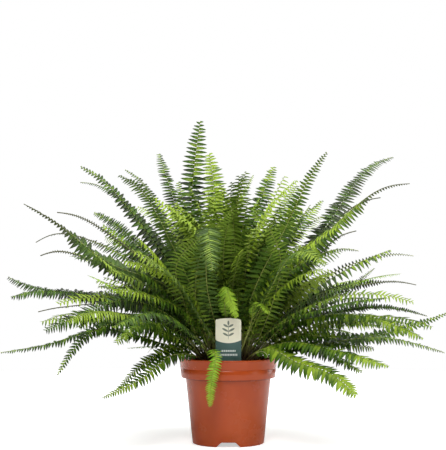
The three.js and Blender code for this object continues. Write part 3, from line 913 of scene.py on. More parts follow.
class FrondRecipe(Recipe):
    """Grows leaflets in pairs along a midrib line, and gives the line its thickness.

    Attributes:
        picks: Number of leaflet shapes for each side.
    """

    PROFILE = ((0.0, 0.32), (0.07, 0.6), (0.2, 0.88), (0.42, 1.0), (0.7, 0.94), (0.86, 0.76),
               (0.94, 0.56), (0.98, 0.38), (1.0, 0.22))
    INPUTS = {
        "Pairs": 40, "Half Width": 0.02, "Breadth": 0.006, "Taper": 0.0, "Crowding": 0.35,
        "Foot Share": 0.13, "Thin From": 2.0, "Thin Size": 0.3, "Bare From": 0.995, "Droop": 0.0,
        "Hang": 0.12, "Twist": 0.0, "Lean": 0.3, "Unevenness": 0.09, "Rib Radius": 0.0008, "Rib Tip": 0.3,
        "Tone": 0.5, "Glow": 0.5, "Haze": 0.0, "Seed": 1, "Right Leaflets": "NodeSocketCollection",
        "Left Leaflets": "NodeSocketCollection", "Leaf Finish": "NodeSocketMaterial",
        "Stalk Finish": "NodeSocketMaterial",
    }
    THINNING = 0.14  # Share of the length in which the frond thins out
    STAGGER = 0.22  # How far each side is shifted along the midrib, in leaflets
    DROOP_STRAY = 0.16  # How much a leaflet's droop differs, in radians
    TWIST_STRAY = 0.3  # How much its twist differs, as a share
    SWAY = 0.09  # How much its lean differs, in radians
    RIB_FOOT = 1.25  # Thickness of the midrib's foot beside the rest
    RIB_SIDES = 5  # Number of sides of the midrib

    def __init__(self, picks: int) -> None:
        """Builds the tree.

        Args:
            picks: Number of leaflet shapes for each side.
        """
        super().__init__("fern_frond", self.INPUTS)
        self.picks = picks
        given = self.given
        line = self.out("GeometryNodeMeshToCurve", "Curve", {"Mesh": given["Geometry"]})
        rows = [self.row(line, side) for side in Side]
        whole = self.add("GeometryNodeJoinGeometry")
        for geometry in (*rows, self.rib(line)):
            self.tree.links.new(geometry, whole.inputs[0])
        fronds = self.out("GeometryNodeRealizeInstances", "Geometry", {"Geometry": whole.outputs[0]})
        for name in ("Tone", "Glow", "Haze"):
            fronds = self.store(fronds, name.lower(), given[name])
        settings = {"data_type": "FLOAT", "operation": "GREATER_THAN"}
        is_rib = self.out("FunctionNodeCompare", "Result", {"A": self.named("rib"), "B": 0.5}, **settings)
        self.close(fronds, ((given["Leaf Finish"], True), (given["Stalk Finish"], is_rib)))

    def thinned(self, share: Socket, low: Any = 0.0, high: Any = 1.0) -> Socket:
        """Eases from low to high where the frond thins out, at a share of its length."""
        start = self.given["Thin From"]
        return self.ramp(share, start, self.plus(start, self.THINNING), low, high)

    def rib(self, line: Socket) -> Socket:
        """Gives the midrib its thickness, from a stout foot to a thin tip.

        Args:
            line: The midrib's curve.

        Returns:
            The midrib's mesh.
        """
        line = self.store(line, "share", self.out("GeometryNodeSplineParameter", "Factor"))
        share = self.named("share")
        line = self.store(line, "wither", self.thinned(share))
        taper = self.ramp(share, 0.0, 1.0, self.RIB_FOOT, self.given["Rib Tip"])
        tube = self.tube(line, self.times(taper, self.given["Rib Radius"]), self.RIB_SIDES)
        return self.store(tube, "rib", 1.0)

    def profile(self, share: Socket) -> Socket:
        """Reads the frond's outline: the leaflets' length along it.

        Args:
            share: Share of the leafy part's length.

        Returns:
            The length beside the longest leaflet.
        """
        outline = self.add("ShaderNodeFloatCurve", {"Value": share})
        curve = outline.mapping.curves[0]
        for place, height in self.PROFILE[1:-1]:
            curve.points.new(place, height)
        curve.points[0].location = self.PROFILE[0]
        curve.points[-1].location = self.PROFILE[-1]
        outline.mapping.update()
        return outline.outputs[0]

    def swung(self, start: Socket, end: Socket, angle: Socket) -> Socket:
        """Turns a direction by an angle in radians towards another one, square to it."""
        near = self.scaled(start, self.math("COSINE", angle))
        return self.vector("ADD", near, self.scaled(end, self.math("SINE", angle)))

    def axes(self, tangent: Socket, level: Socket, share: Socket, side: Side, seed: Socket) -> Socket:
        """Works out how the leaflets are turned.

        Args:
            tangent: Direction of the midrib.
            level: Direction of the frond's upper face.
            share: Share of the leafy part's length.
            side: The side of the midrib.
            seed: Seed of this side.

        Returns:
            The rotation.
        """
        outward = self.vector("NORMALIZE", self.vector("CROSS_PRODUCT", tangent, level))
        upward = self.vector("CROSS_PRODUCT", outward, tangent)
        outward = self.scaled(outward, float(side.value))
        stray = self.random(-1.0, 1.0, self.plus(seed, 1.0))
        droop = self.linear(stray, self.DROOP_STRAY, self.given["Droop"])
        reach = self.swung(outward, self.scaled(upward, -1.0), droop)
        twist = self.times(self.given["Twist"], self.linear(stray, self.TWIST_STRAY, 1.0))
        face = self.vector("ADD", self.swung(upward, outward, droop), self.compose(Z=twist))
        sway = self.random(-self.SWAY, self.SWAY, self.plus(seed, 2.0))
        lean = self.plus(self.ramp(share, 0.3, 1.0, 0.0, self.given["Lean"]), sway)
        weight = self.compose(Z=self.times(self.given["Hang"], -1.0))
        along = self.vector("ADD", self.swung(reach, tangent, lean), weight)
        inputs = {"Primary Axis": along, "Secondary Axis": face}
        settings = {"primary_axis": "X", "secondary_axis": "Z"}
        return self.out("FunctionNodeAxesToRotation", "Rotation", inputs, **settings)

    def size(self, even: Socket, place: Socket, share: Socket, seed: Socket) -> Socket:
        """Works out how large the leaflets are.

        Args:
            even: Share of the leaflets that grow below this one.
            place: Share of the leafy part's length.
            share: Share of the frond's length.
            seed: Seed of this side.

        Returns:
            The scale, with the length in X and Z and the breadth in Y.
        """
        given = self.given
        loss = self.times(self.ramp(place, 0.2, 1.15), given["Taper"])
        outline = self.times(self.profile(place), self.math("SUBTRACT", 1.0, loss))
        uneven = self.linear(self.random(-1.0, 1.0, self.plus(seed, 3.0)), given["Unevenness"], 1.0)
        size = self.times(self.times(outline, self.thinned(share, 1.0, given["Thin Size"])), uneven)
        length = self.times(size, given["Half Width"])
        gap = self.plus(1.0, self.times(given["Crowding"], self.linear(even, -2.0, 1.0)))
        breadth = self.times(self.times(self.math("POWER", size, 0.3), gap), given["Breadth"])
        return self.compose(X=length, Y=breadth, Z=length)

    def row(self, line: Socket, side: Side) -> Socket:
        """Grows the leaflets on one side of the midrib, closer together towards the tip.

        Args:
            line: The midrib's curve.
            side: The side of the midrib.

        Returns:
            The instances.
        """
        given, sign = self.given, float(side.value)
        seed = self.linear(given["Seed"], 10.0, 3.0 * sign + 3.0)
        index = self.out("GeometryNodeInputIndex", "Index")
        even = self.math("DIVIDE", self.plus(index, 0.5 + self.STAGGER * sign), given["Pairs"])
        slack = self.times(given["Crowding"], self.math("SUBTRACT", 1.0, even))
        place = self.times(even, self.plus(slack, 1.0))
        reach = self.math("SUBTRACT", given["Bare From"], given["Foot Share"])
        share = self.linear(place, reach, given["Foot Share"])
        inputs = {"Curves": line, "Value": self.named("upper", "FLOAT_VECTOR"), "Factor": share}
        seat = self.add("GeometryNodeSampleCurve", inputs, data_type="FLOAT_VECTOR", mode="FACTOR",
                        use_all_curves=True).outputs
        inputs = {"Count": given["Pairs"], "Position": seat["Position"]}
        points = self.out("GeometryNodePoints", 0, inputs)
        points = self.store(points, "share", share)
        points = self.store(points, "tint", self.random(0.0, 1.0, seed))
        points = self.store(points, "wither", self.thinned(share))
        turn = self.axes(seat["Tangent"], self.pick(seat, "Value"), place, side, seed)
        shapes = given["Right Leaflets"] if side is Side.RIGHT else given["Left Leaflets"]
        size = self.size(even, place, share, seed)
        return self.instances(shapes, self.picks, seed, points, turn, size)


# Fronds


class Habit(Enum):
    """How a frond carries its leaflets."""

    FULL = "full"
    TAPERED = "tapered"
    TIPPED = "tipped"
    SLENDER = "slender"
    WISPY = "wispy"
    YOUNG = "young"


@dataclass(frozen=True)
class HabitShape:
    """Measures that go with a habit."""

    thin_from: float  # Share of the frond's length from which the leaflets are small
    thin_size: float  # Size of those leaflets beside the full ones
    bare_from: float  # Share of the length from which the midrib is bare
    taper: float  # How much shorter the leaflets get towards the tip
    crowding: float  # How much closer together they are towards the tip
    rib_tip: float  # Thickness of the midrib's tip beside the rest
    glow: float  # How fresh the tip's green is, from 0 to 1


HABITS = {
    Habit.FULL: HabitShape(2.0, 1.0, 1.0, 0.0, 0.3, 0.35, 0.34),
    Habit.TAPERED: HabitShape(2.0, 1.0, 1.0, 0.55, 0.35, 0.45, 0.2),
    Habit.TIPPED: HabitShape(0.72, 0.32, 0.99, 0.1, 0.4, 0.9, 0.2),
    Habit.SLENDER: HabitShape(0.62, 0.42, 0.99, 0.2, 0.45, 1.1, 0.15),
    Habit.WISPY: HabitShape(0.54, 0.45, 0.98, 0.0, 0.4, 1.3, 0.0),
    Habit.YOUNG: HabitShape(2.0, 1.0, 0.99, 0.2, 0.35, 0.3, 0.4),
}


@dataclass(frozen=True)
class Blade:
    """How a frond's blade looks."""

    width: float  # Width in mm
    habit: Habit = Habit.FULL  # How it carries its leaflets
    # How many degrees the leaflets hang below the blade's plane, or rise above it if negative
    droop: float = 0.0
    # Tone is partly the frond's own green and partly painted light: fronds in the plant's shade get higher
    # tones
    tone: float = 0.5  # How light its green is: deep at 0 or below, usual at 0.5, fresh at 1 or above
    haze: float = 0.0  # How strongly a painted grey sheen covers its upper face, from 0 to 1
    gap: float = 0.15  # Mean distance between leaflets, as a share of the width
    fill: float = 1.05  # Breadth of a leaflet beside that distance
    twist: float = 0.35  # How strongly the leaflets turn their upper faces to the sky
    bare: float = 0.13  # Share of the frond's length, from its foot, that has no leaflets

    @property
    def is_young(self) -> bool:
        """Whether the frond is a young, bright one."""
        return self.habit is Habit.YOUNG


@dataclass(frozen=True)
class Route:
    """Where a frond grows and how it looks."""

    foot: Pair  # Radius in mm and angle in degrees of its foot in the crown
    path: tuple[Point, ...]  # Points of the midrib in mm, out to the tip
    turn: float  # How many degrees its upper face turns to the viewer
    blade: Blade  # The look of its blade


def routes(*rows: tuple) -> tuple[Route, ...]:
    """Makes routes of rows: a foot, the points of its path, and last the turn with the blade's looks."""
    return tuple(Route(foot, tuple(path), turn, Blade(*looks)) for foot, *path, (turn, *looks) in rows)


FULL, TAPERED, TIPPED = Habit.FULL, Habit.TAPERED, Habit.TIPPED
SLENDER, WISPY, YOUNG = Habit.SLENDER, Habit.WISPY, Habit.YOUNG

LEFT_FRONDS = routes(
    ((31, 152), (-60, 25, 275), (-65, 35, 420), (-50, 45, 565), (35, 50, FULL, 0, 0.3, 0, 0.18, 1.05, 0.3)),
    ((31, 125), (-60, 85, 260), (-90, 110, 390), (-130, 150, 520), (8, 42, FULL, 0, 0.2, 0.1, 0.155, 1.2)),
    ((20, 120), (-25, 65, 265), (-20, 110, 390), (-35, 150, 520), (8, 56, FULL, 0, 0.62, 0, 0.15, 1.1, 0.2)),
    ((20, 160), (-68, 46, 268), (-100, 95, 360), (-150, 130, 450), (-195, 150, 490),
     (15, 44, TAPERED, 0, 0.15, 0.1, 0.16, 1.2)),
    ((20, 240), (-55, -55, 250), (-95, -95, 340), (-135, -130, 415), (-175, -150, 445),
     (-12, 40, FULL, 0, 0.2, 0.25, 0.15, 1.1)),
    ((20, 200), (-75, -25, 265), (-135, -40, 355), (-200, -50, 435), (-250, -60, 470),
     (60, 46, TAPERED, 0, 0.16, 0.1, 0.17, 1.25)),
    ((9, 135), (-75, 60, 272), (-140, 120, 370), (-225, 165, 450), (-285, 190, 470),
     (20, 40, TAPERED, 10, 0.2, 0, 0.15, 1.15)),
    ((31, 208), (-95, -55, 260), (-195, -90, 305), (-280, -120, 370), (-330, -140, 400),
     (60, 46, TIPPED, 15, 0.2, 0.25, 0.16, 1.25, 0, 0.36)),
    ((41, 168), (-85, 20, 260), (-170, 30, 330), (-250, 35, 385), (-305, 40, 400),
     (60, 24, WISPY, 0, 0.05, 0.1, 0.24, 0.75)),
    ((41, 144), (-110, 95, 260), (-205, 145, 330), (-310, 190, 370), (-375, 220, 355),
     (30, 36, SLENDER, 0, 0.28, 0, 0.15, 0.95)),
    ((31, 180), (-100, -15, 235), (-185, -25, 285), (-270, -35, 325), (-320, -40, 320),
     (60, 24, WISPY, 0, 0.0, 0.1, 0.24, 0.75)),
    ((41, 120), (-80, 110, 245), (-145, 170, 320), (-215, 220, 385), (-265, 250, 415),
     (50, 34, FULL, 0, 0.12, 0.05, 0.17, 1.2)),
    ((31, 235), (-80, -65, 200), (-140, -100, 230), (-195, -130, 270), (-225, -150, 285),
     (20, 20, YOUNG, 0, 0.7, 0, 0.135, 1.25, 0.35, 0.35)),
    ((50, 171), (-130, 25, 235), (-235, 40, 255), (-335, 50, 265), (-395, 60, 285),
     (28, 42, FULL, 10, -0.1, 0.05, 0.13, 1.15)),
    ((41, 192), (-115, -40, 225), (-210, -70, 250), (-300, -95, 260), (-355, -110, 250),
     (28, 42, FULL, 10, 0.02, 0, 0.13, 1.15)),
    ((50, 152), (-130, 85, 210), (-220, 135, 235), (-310, 175, 230), (-365, 200, 220),
     (0, 34, WISPY, 0, 0.3, 0, 0.16, 0.9)),
    ((41, 240), (-90, -95, 215), (-165, -140, 245), (-235, -190, 220), (-280, -220, 200),
     (50, 42, FULL, 10, 0.08, 0, 0.135, 0.95, 0.3)),
    ((50, 188), (-130, -10, 175), (-220, -15, 195), (-305, -15, 170), (-390, -20, 155),
     (25, 40, TAPERED, 10, 0.27, 0, 0.14, 1.15)),
    ((41, 216), (-90, -65, 180), (-160, -105, 210), (-225, -145, 190), (-265, -190, 130),
     (60, 36, TAPERED, 0, 0.32, 0, 0.2, 1.1)),
    ((50, 136), (-80, 60, 160), (-135, 85, 160), (-185, 110, 155), (0, 18, YOUNG, 0, 0.8)),
    ((50, 226), (-90, -85, 155), (-140, -135, 120), (-195, -190, 95),
     (50, 36, TAPERED, 10, 0.48, 0, 0.18, 1.1)),
    ((50, 207), (-90, -55, 165), (-140, -85, 140), (-180, -120, 100),
     (40, 32, TAPERED, 0, 0.7, 0, 0.18, 1.1)),
)
RIGHT_FRONDS = routes(
    ((20, 80), (-5, 85, 255), (5, 145, 375), (50, 200, 485), (5, 34, TAPERED, 0, 0.55, 0.0, 0.17, 1.05)),
    ((20, 40), (15, 45, 260), (45, 80, 380), (85, 110, 490), (20, 46, FULL, 0, 0.36, 0, 0.15, 1.15, 0.3)),
    ((31, 69), (25, 95, 255), (75, 155, 360), (135, 210, 465), (10, 52, FULL, 0, 0.32, 0.3, 0.14, 1.0, 0.25)),
    ((9, 315), (45, -50, 265), (90, -85, 355), (130, -105, 440), (160, -130, 485),
     (-30, 52, TAPERED, 0, 0.5, 0, 0.14, 1.0, 0.2)),
    ((41, 48), (35, 110, 255), (95, 190, 360), (185, 260, 435), (20, 24, TAPERED, 0, 0.15, 0.1, 0.23, 0.75)),
    ((20, 0), (100, 40, 265), (175, 80, 370), (250, 120, 475), (315, 160, 515),
     (30, 64, TAPERED, 0, 0.1, 0.25, 0.1, 1.25, 0.2)),
    ((31, 346), (90, -30, 265), (165, -45, 355), (245, -60, 425), (305, -70, 440),
     (45, 48, TIPPED, 30, 0.55, 0, 0.14, 1.1, 0.2)),
    ((31, 42), (75, 80, 265), (155, 125, 350), (240, 165, 420), (295, 190, 440),
     (30, 26, WISPY, 0, 0.2, 0.1, 0.22, 0.8)),
    ((31, 14), (70, 35, 235), (135, 60, 290), (190, 80, 350), (235, 90, 370),
     (30, 26, WISPY, 0, 0.2, 0.1, 0.22, 0.8)),
    ((20, 320), (50, -50, 230), (100, -80, 290), (165, -110, 325), (210, -130, 325),
     (40, 26, TAPERED, 10, 0.3, 0, 0.2, 0.95, 0.35, 0.3)),
    ((41, 24), (110, 55, 235), (195, 80, 295), (285, 105, 325), (345, 120, 325),
     (60, 20, TAPERED, 0, 0.0, 0, 0.36, 0.62, 0.1)),
    ((41, 336), (105, -40, 220), (180, -60, 260), (260, -80, 275), (310, -90, 270),
     (60, 24, TIPPED, -20, -0.12, 0, 0.22, 0.95, 0.1)),
    ((50, 33), (100, 100, 205), (200, 175, 245), (290, 240, 305), (45, 28, TAPERED, 0, 0.12, 0, 0.2, 0.95)),
    ((31, 318), (80, -75, 200), (165, -130, 235), (245, -190, 250), (20, 32, FULL, 15, 0.2, 0, 0.17, 1.1)),
    ((41, 0), (105, 15, 190), (190, 25, 220), (275, 40, 230), (355, 50, 215),
     (40, 30, TAPERED, -30, -0.05, 0, 0.16, 1.2)),
    ((50, 15), (125, 30, 180), (215, 40, 175), (305, 55, 190), (395, 70, 220),
     (50, 40, TAPERED, 0, 0.45, 0, 0.2, 1.15)),
    ((50, 332), (110, -60, 205), (215, -100, 220), (310, -140, 185), (25, 44, FULL, 5, 0.55, 0, 0.135, 1.15)),
    ((50, 352), (150, -10, 165), (260, -15, 180), (370, -20, 155),
     (30, 38, TAPERED, 5, 0.35, 0.2, 0.15, 1.0)),
    ((41, 312), (95, -85, 175), (170, -140, 165), (245, -200, 145), (20, 44, FULL, 8, 0.45, 0, 0.135, 1.2)),
    ((50, 316), (90, -60, 170), (155, -90, 160), (215, -120, 130), (20, 40, FULL, 3, 0.34, 0, 0.135, 1.2)),
    ((50, 300), (65, -80, 165), (110, -120, 145), (160, -160, 130), (195, -200, 100),
     (40, 46, FULL, 10, 0.62, 0, 0.15, 1.3, 0.1)),
)
FRONT_FRONDS = routes(
    ((46, 250), (-27, -66, 162), (-21, -95, 150), (-28, -106, 112), (-30, -110, 72),
     (0, 26, YOUNG, 0, 0.6, 0, 0.15, 0.95, 0)),
    ((41, 275), (-6, -52, 235), (-5, -76, 266), (14, -95, 215),
     (0, 34, YOUNG, 20, 0.75, 0, 0.125, 1.15, 0, 0.4)),
    ((41, 292), (36, -64, 200), (46, -80, 240), (68, -100, 222),
     (0, 24, YOUNG, 0, 0.9, 0, 0.13, 1.2, 0, 0.6)),
    ((31, 258), (-55, -88, 228), (-88, -125, 280), (-130, -175, 312),
     (30, 54, FULL, 0, 0.6, 0.35, 0.12, 0.62, 0)),
    ((9, 225), (-35, -70, 262), (-34, -160, 358), (-25, -270, 290),
     (0, 48, FULL, 0, 0.36, 0.2, 0.13, 0.66, 0)),
    ((31, 303), (65, -90, 255), (105, -150, 320), (150, -205, 300),
     (20, 46, FULL, 0, 0.55, 0.15, 0.13, 0.66, 0.1)),
    ((50, 236), (-70, -110, 200), (-120, -170, 225), (-175, -225, 205),
     (20, 44, FULL, 10, 0.26, 0.05, 0.13, 0.9)),
)
FILLING_FRONDS = routes(
    ((31, 130), (-45, 70, 265), (-70, 95, 370), (-92, 110, 462), (10, 40, FULL, 0, 0.4, 0, 0.15, 0.95, 0.3)),
    ((41, 175), (-90, 30, 250), (-160, 45, 325), (-225, 55, 378),
     (35, 52, FULL, 5, 0.28, 0, 0.15, 1.05, 0.2)),
    ((31, 330), (50, -20, 255), (95, -40, 335), (138, -60, 405), (30, 44, FULL, 0, 0.4, 0, 0.15, 0.95, 0.2)),
    ((50, 325), (90, -40, 165), (165, -60, 172), (240, -80, 165), (30, 36, FULL, 5, 0.4, 0, 0.15, 0.95, 0.2)),
    ((41, 230), (-60, -75, 215), (-120, -120, 250), (-185, -160, 262),
     (35, 44, FULL, 5, 0.6, 0, 0.15, 0.7, 0.1)),
    ((41, 310), (55, -70, 225), (100, -110, 275), (150, -150, 295),
     (30, 42, FULL, 5, 0.95, 0, 0.16, 0.7, 0.1)),
    ((31, 30), (60, 30, 260), (115, 60, 355), (172, 85, 425), (25, 40, FULL, 0, 0.35, 0, 0.16, 0.9, 0.2)),
    ((41, 215), (-55, -60, 245), (-110, -95, 290), (-170, -125, 308),
     (35, 44, FULL, 5, 0.85, 0, 0.15, 0.8, 0.1)),
    ((9, 60), (-5, 20, 262), (0, 20, 345), (-8, 40, 440), (5, 46, FULL, 0, 1.2, 0, 0.16, 0.72, 0.1)),
    ((41, 200), (-72, -70, 235), (-85, -120, 300), (-45, -165, 345),
     (10, 46, FULL, 5, 0.8, 0.05, 0.15, 0.68, 0.1)),
    ((41, 340), (72, -70, 235), (85, -115, 310), (58, -150, 370),
     (10, 46, FULL, 5, 0.85, 0, 0.15, 0.68, 0.1)),
    ((41, 235), (-55, -62, 245), (-40, -110, 335), (8, -145, 392),
     (5, 44, FULL, 5, 0.95, 0, 0.15, 0.68, 0.1)),
    ((50, 218), (-85, -90, 190), (-130, -140, 208), (-175, -190, 180),
     (30, 40, FULL, 5, 0.4, 0, 0.14, 0.95, 0.1)),
)
BACK_FRONDS = routes(
    ((41, 66), (38, 90, 255), (58, 185, 325), (75, 270, 300), (0, 42)),
    ((41, 96), (-30, 90, 240), (-60, 180, 310), (-85, 260, 270), (0, 42, FULL, 0, 0.4)),
    ((50, 112), (-75, 105, 225), (-135, 185, 265), (-185, 250, 230), (0, 42)),
    ((50, 56), (75, 95, 225), (135, 170, 275), (180, 235, 245), (0, 42, FULL, 0, 0.4)),
    ((31, 97), (-8, 100, 245), (2, 170, 350), (15, 215, 440), (0, 40, FULL, 0, 0.6)),
    ((50, 80), (35, 120, 190), (60, 190, 190), (80, 245, 140), (0, 38)),
)


def around(radius: float, heading: float, level: float) -> Point:
    """Gives a point at a radius and a level, in a compass direction in radians."""
    return (radius * math.cos(heading), radius * math.sin(heading), level)


def arch(foot: Point, pitch: np.ndarray, yaw: np.ndarray, length: float) -> np.ndarray:
    """Runs a line that changes its direction step by step.

    Args:
        foot: Where it starts.
        pitch: Angle above the level at each step, in radians.
        yaw: Compass direction at each step, in radians.
        length: Length of the line.

    Returns:
        Its points.
    """
    steps = np.stack((np.cos(pitch) * np.cos(yaw), np.cos(pitch) * np.sin(yaw), np.sin(pitch)), axis=1)
    line = np.cumsum(steps * length / (len(pitch) - 1), axis=0)
    return np.array(foot) + line - line[0]


class Midrib:
    """The line of a midrib, with the way that the frond's upper face looks.

    Attributes:
        points: Points along the midrib, in metres.
        upper: The direction of the upper face at each point.
    """

    LIFT = 0.45  # How much more steeply a frond leaves the crown than its first points say
    STEPS = 48  # Number of straight pieces

    def __init__(self, points: np.ndarray, turn: float) -> None:
        """Works out the upper face along a line.

        Args:
            points: Points along the midrib, in metres.
            turn: How many degrees the upper face turns to the viewer.
        """
        self.points = points
        tangents = np.gradient(points, axis=0)
        tangents /= np.linalg.norm(tangents, axis=1)[:, None]
        outward = points[-1] - points[0]
        outward[2] = 0.0
        outward /= np.linalg.norm(outward)
        side = np.array((-outward[1], outward[0], 0.0))
        across = side - tangents * (tangents @ side)[:, None]
        across /= np.linalg.norm(across, axis=1)[:, None]
        angle = math.radians(turn) * np.sign(outward[0])
        across = across * math.cos(angle) + np.cross(tangents, across) * math.sin(angle)
        self.upper = np.cross(tangents, across)

    @classmethod
    def through(cls, route: Route, level: float) -> "Midrib":
        """Runs a smooth line through a route's points, which leaves the crown steeply.

        Args:
            route: The frond's route.
            level: Height of its foot in mm.

        Returns:
            The midrib.
        """
        radius, angle = route.foot
        knots = np.array((around(radius, math.radians(angle), level), *route.path), float)
        chords = np.diff(knots, axis=0)
        slopes = np.zeros_like(knots)
        slopes[1:-1] = (chords[1:] + chords[:-1]) / 2
        first = np.linalg.norm(chords[0])
        start = chords[0] + np.array((0, 0, cls.LIFT * first))
        slopes[0] = start / np.linalg.norm(start) * first
        slopes[-1] = 1.5 * chords[-1] - 0.5 * slopes[-2]
        place = np.linspace(0, len(chords), cls.STEPS + 1)
        i = np.minimum(place.astype(int), len(chords) - 1)
        t = (place - i)[:, None]
        line = (knots[i] * (1 + 2 * t) * (1 - t) ** 2 + slopes[i] * t * (1 - t) ** 2
                + knots[i + 1] * t * t * (3 - 2 * t) + slopes[i + 1] * t * t * (t - 1))
        return cls(line * MM, route.turn)

    @property
    def length(self) -> float:
        """Length of the midrib in metres."""
        return float(np.linalg.norm(np.diff(self.points, axis=0), axis=1).sum())

    def carrier(self) -> Object:
        """Makes the line of edges that the leaflets grow along.

        Returns:
            The line.
        """
        edges = [(i, i + 1) for i in range(len(self.points) - 1)]
        line = mesh_object("midrib_line", self.points, (), edges)
        upper = line.data.attributes.new("upper", "FLOAT_VECTOR", "POINT")
        upper.data.foreach_set("vector", self.upper.astype(np.float32).ravel())
        return line


@dataclass
class Foliage:
    """All fronds of the plant."""

    root_level: float = 138.0  # Height in mm at which the fronds' feet lie in the crown
    closest: float = 3.5  # Least mean distance between leaflets, in mm
    narrow: float = 32.0  # Width in mm below which a frond has the lighter leaflets
    seed: int = 100  # Seed of the last frond, which goes up by one for each
    leaflets: LeafletSet = field(init=False)  # The full leaflets
    light_leaflets: LeafletSet = field(init=False)  # Leaflets with fewer faces
    recipe: FrondRecipe = field(init=False)  # The tree that grows a frond
    mature: Material = field(init=False)  # Finish of the usual leaflets
    young: Material = field(init=False)  # Finish of the young leaflets
    stalk: Material = field(init=False)  # Finish of the midribs

    FEWEST_PAIRS = 6  # Least number of leaflets on each side

    def __post_init__(self) -> None:
        """Builds the leaflets, the recipe and the finishes."""
        shapes = (Leaflet(), Leaflet(sickle=0.32, arch=0.2, fold=0.1), Leaflet(sickle=0.12, arch=0.02),
                  Leaflet(sickle=0.26, arch=0.3, fold=0.04, ear=0.26))
        lighter = tuple(Leaflet(stations=5, sickle=shape.sickle, arch=shape.arch, scallop=0.0, bluntness=2.4)
                        for shape in shapes)
        self.leaflets = LeafletSet("leaflet", shapes)
        self.light_leaflets = LeafletSet("light_leaflet", lighter)
        self.recipe = FrondRecipe(len(shapes))
        self.mature = LeafFinish("mature_leaf", deep=paint(10, 24, 3), mid=paint(68, 104, 17),
                                 fresh=paint(160, 188, 52), underside=paint(86, 118, 44),
                                 vein=paint(140, 165, 70)).make()
        self.young = LeafFinish("young_leaf", deep=paint(80, 130, 20), mid=paint(118, 168, 34),
                                fresh=paint(166, 200, 60), underside=paint(136, 172, 62),
                                vein=paint(170, 200, 90), spores=0.0).make()
        self.stalk = StalkFinish("stalk", foot=paint(66, 46, 24), stem=paint(150, 160, 74),
                                 tip=paint(150, 158, 76)).make()

    def grow(self, midrib: Midrib, name: str, blade: Blade, leaflets: LeafletSet) -> Object:
        """Grows one frond.

        Args:
            midrib: Its midrib.
            name: Name of the result.
            blade: The look of its blade.
            leaflets: The set of leaflets to pick from.

        Returns:
            The frond, not in the scene yet.
        """
        shape = HABITS[blade.habit]
        self.seed += 1
        spacing = max(blade.width * blade.gap, self.closest) * MM
        leafy = midrib.length * (shape.bare_from - blade.bare)
        frond = self.recipe.apply(midrib.carrier(), name, {
            "Pairs": max(int(leafy / spacing), self.FEWEST_PAIRS), "Half Width": blade.width * MM / 2,
            "Breadth": spacing * blade.fill, "Taper": shape.taper, "Crowding": shape.crowding,
            "Foot Share": blade.bare, "Thin From": shape.thin_from, "Thin Size": shape.thin_size,
            "Bare From": shape.bare_from, "Droop": math.radians(blade.droop), "Twist": blade.twist,
            "Rib Tip": shape.rib_tip, "Tone": blade.tone, "Glow": shape.glow, "Haze": blade.haze,
            "Seed": self.seed, "Right Leaflets": leaflets.sides[Side.RIGHT],
            "Left Leaflets": leaflets.sides[Side.LEFT],
            "Leaf Finish": self.young if blade.is_young else self.mature, "Stalk Finish": self.stalk,
        })
        for helper in ("upper", "rib"):
            attribute = frond.data.attributes.get(helper)
            if attribute is not None:
                frond.data.attributes.remove(attribute)
        return frond

    def build(self) -> None:
        """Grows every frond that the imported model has."""
        groups = {"left": LEFT_FRONDS, "right": RIGHT_FRONDS, "front": FRONT_FRONDS, "back": BACK_FRONDS}
        for side, routes in groups.items():
            for number, route in enumerate(routes, start=1):
                node = f"frond_{side}_{number:02d}"
                blade = route.blade
                is_thin = blade.habit is Habit.WISPY or blade.width < self.narrow
                leaflets = self.light_leaflets if is_thin else self.leaflets
                midrib = Midrib.through(route, self.root_level)
                frond = self.grow(midrib, f"leafy_{node}", blade, leaflets)
                add_piece(frond, (node,))


@dataclass(frozen=True)
class Tier:
    """A layer of shorter fronds in the heart of the plant."""

    name: str  # Name that its pieces start with
    count: int  # Number of fronds in each quarter
    reach: Pair  # Half the width and the height in mm of the dome that they fill
    aims: Pair  # Lowest and highest angle in degrees at which they leave the crown
    bends: Pair  # Least and most degrees that they bend down by
    widths: Pair  # Least and greatest width in mm
    # Tones past 1 paint light onto fronds in the shade of the heart
    tones: Pair  # Lowest and highest tone
    seed: int  # Seed of their places and bends


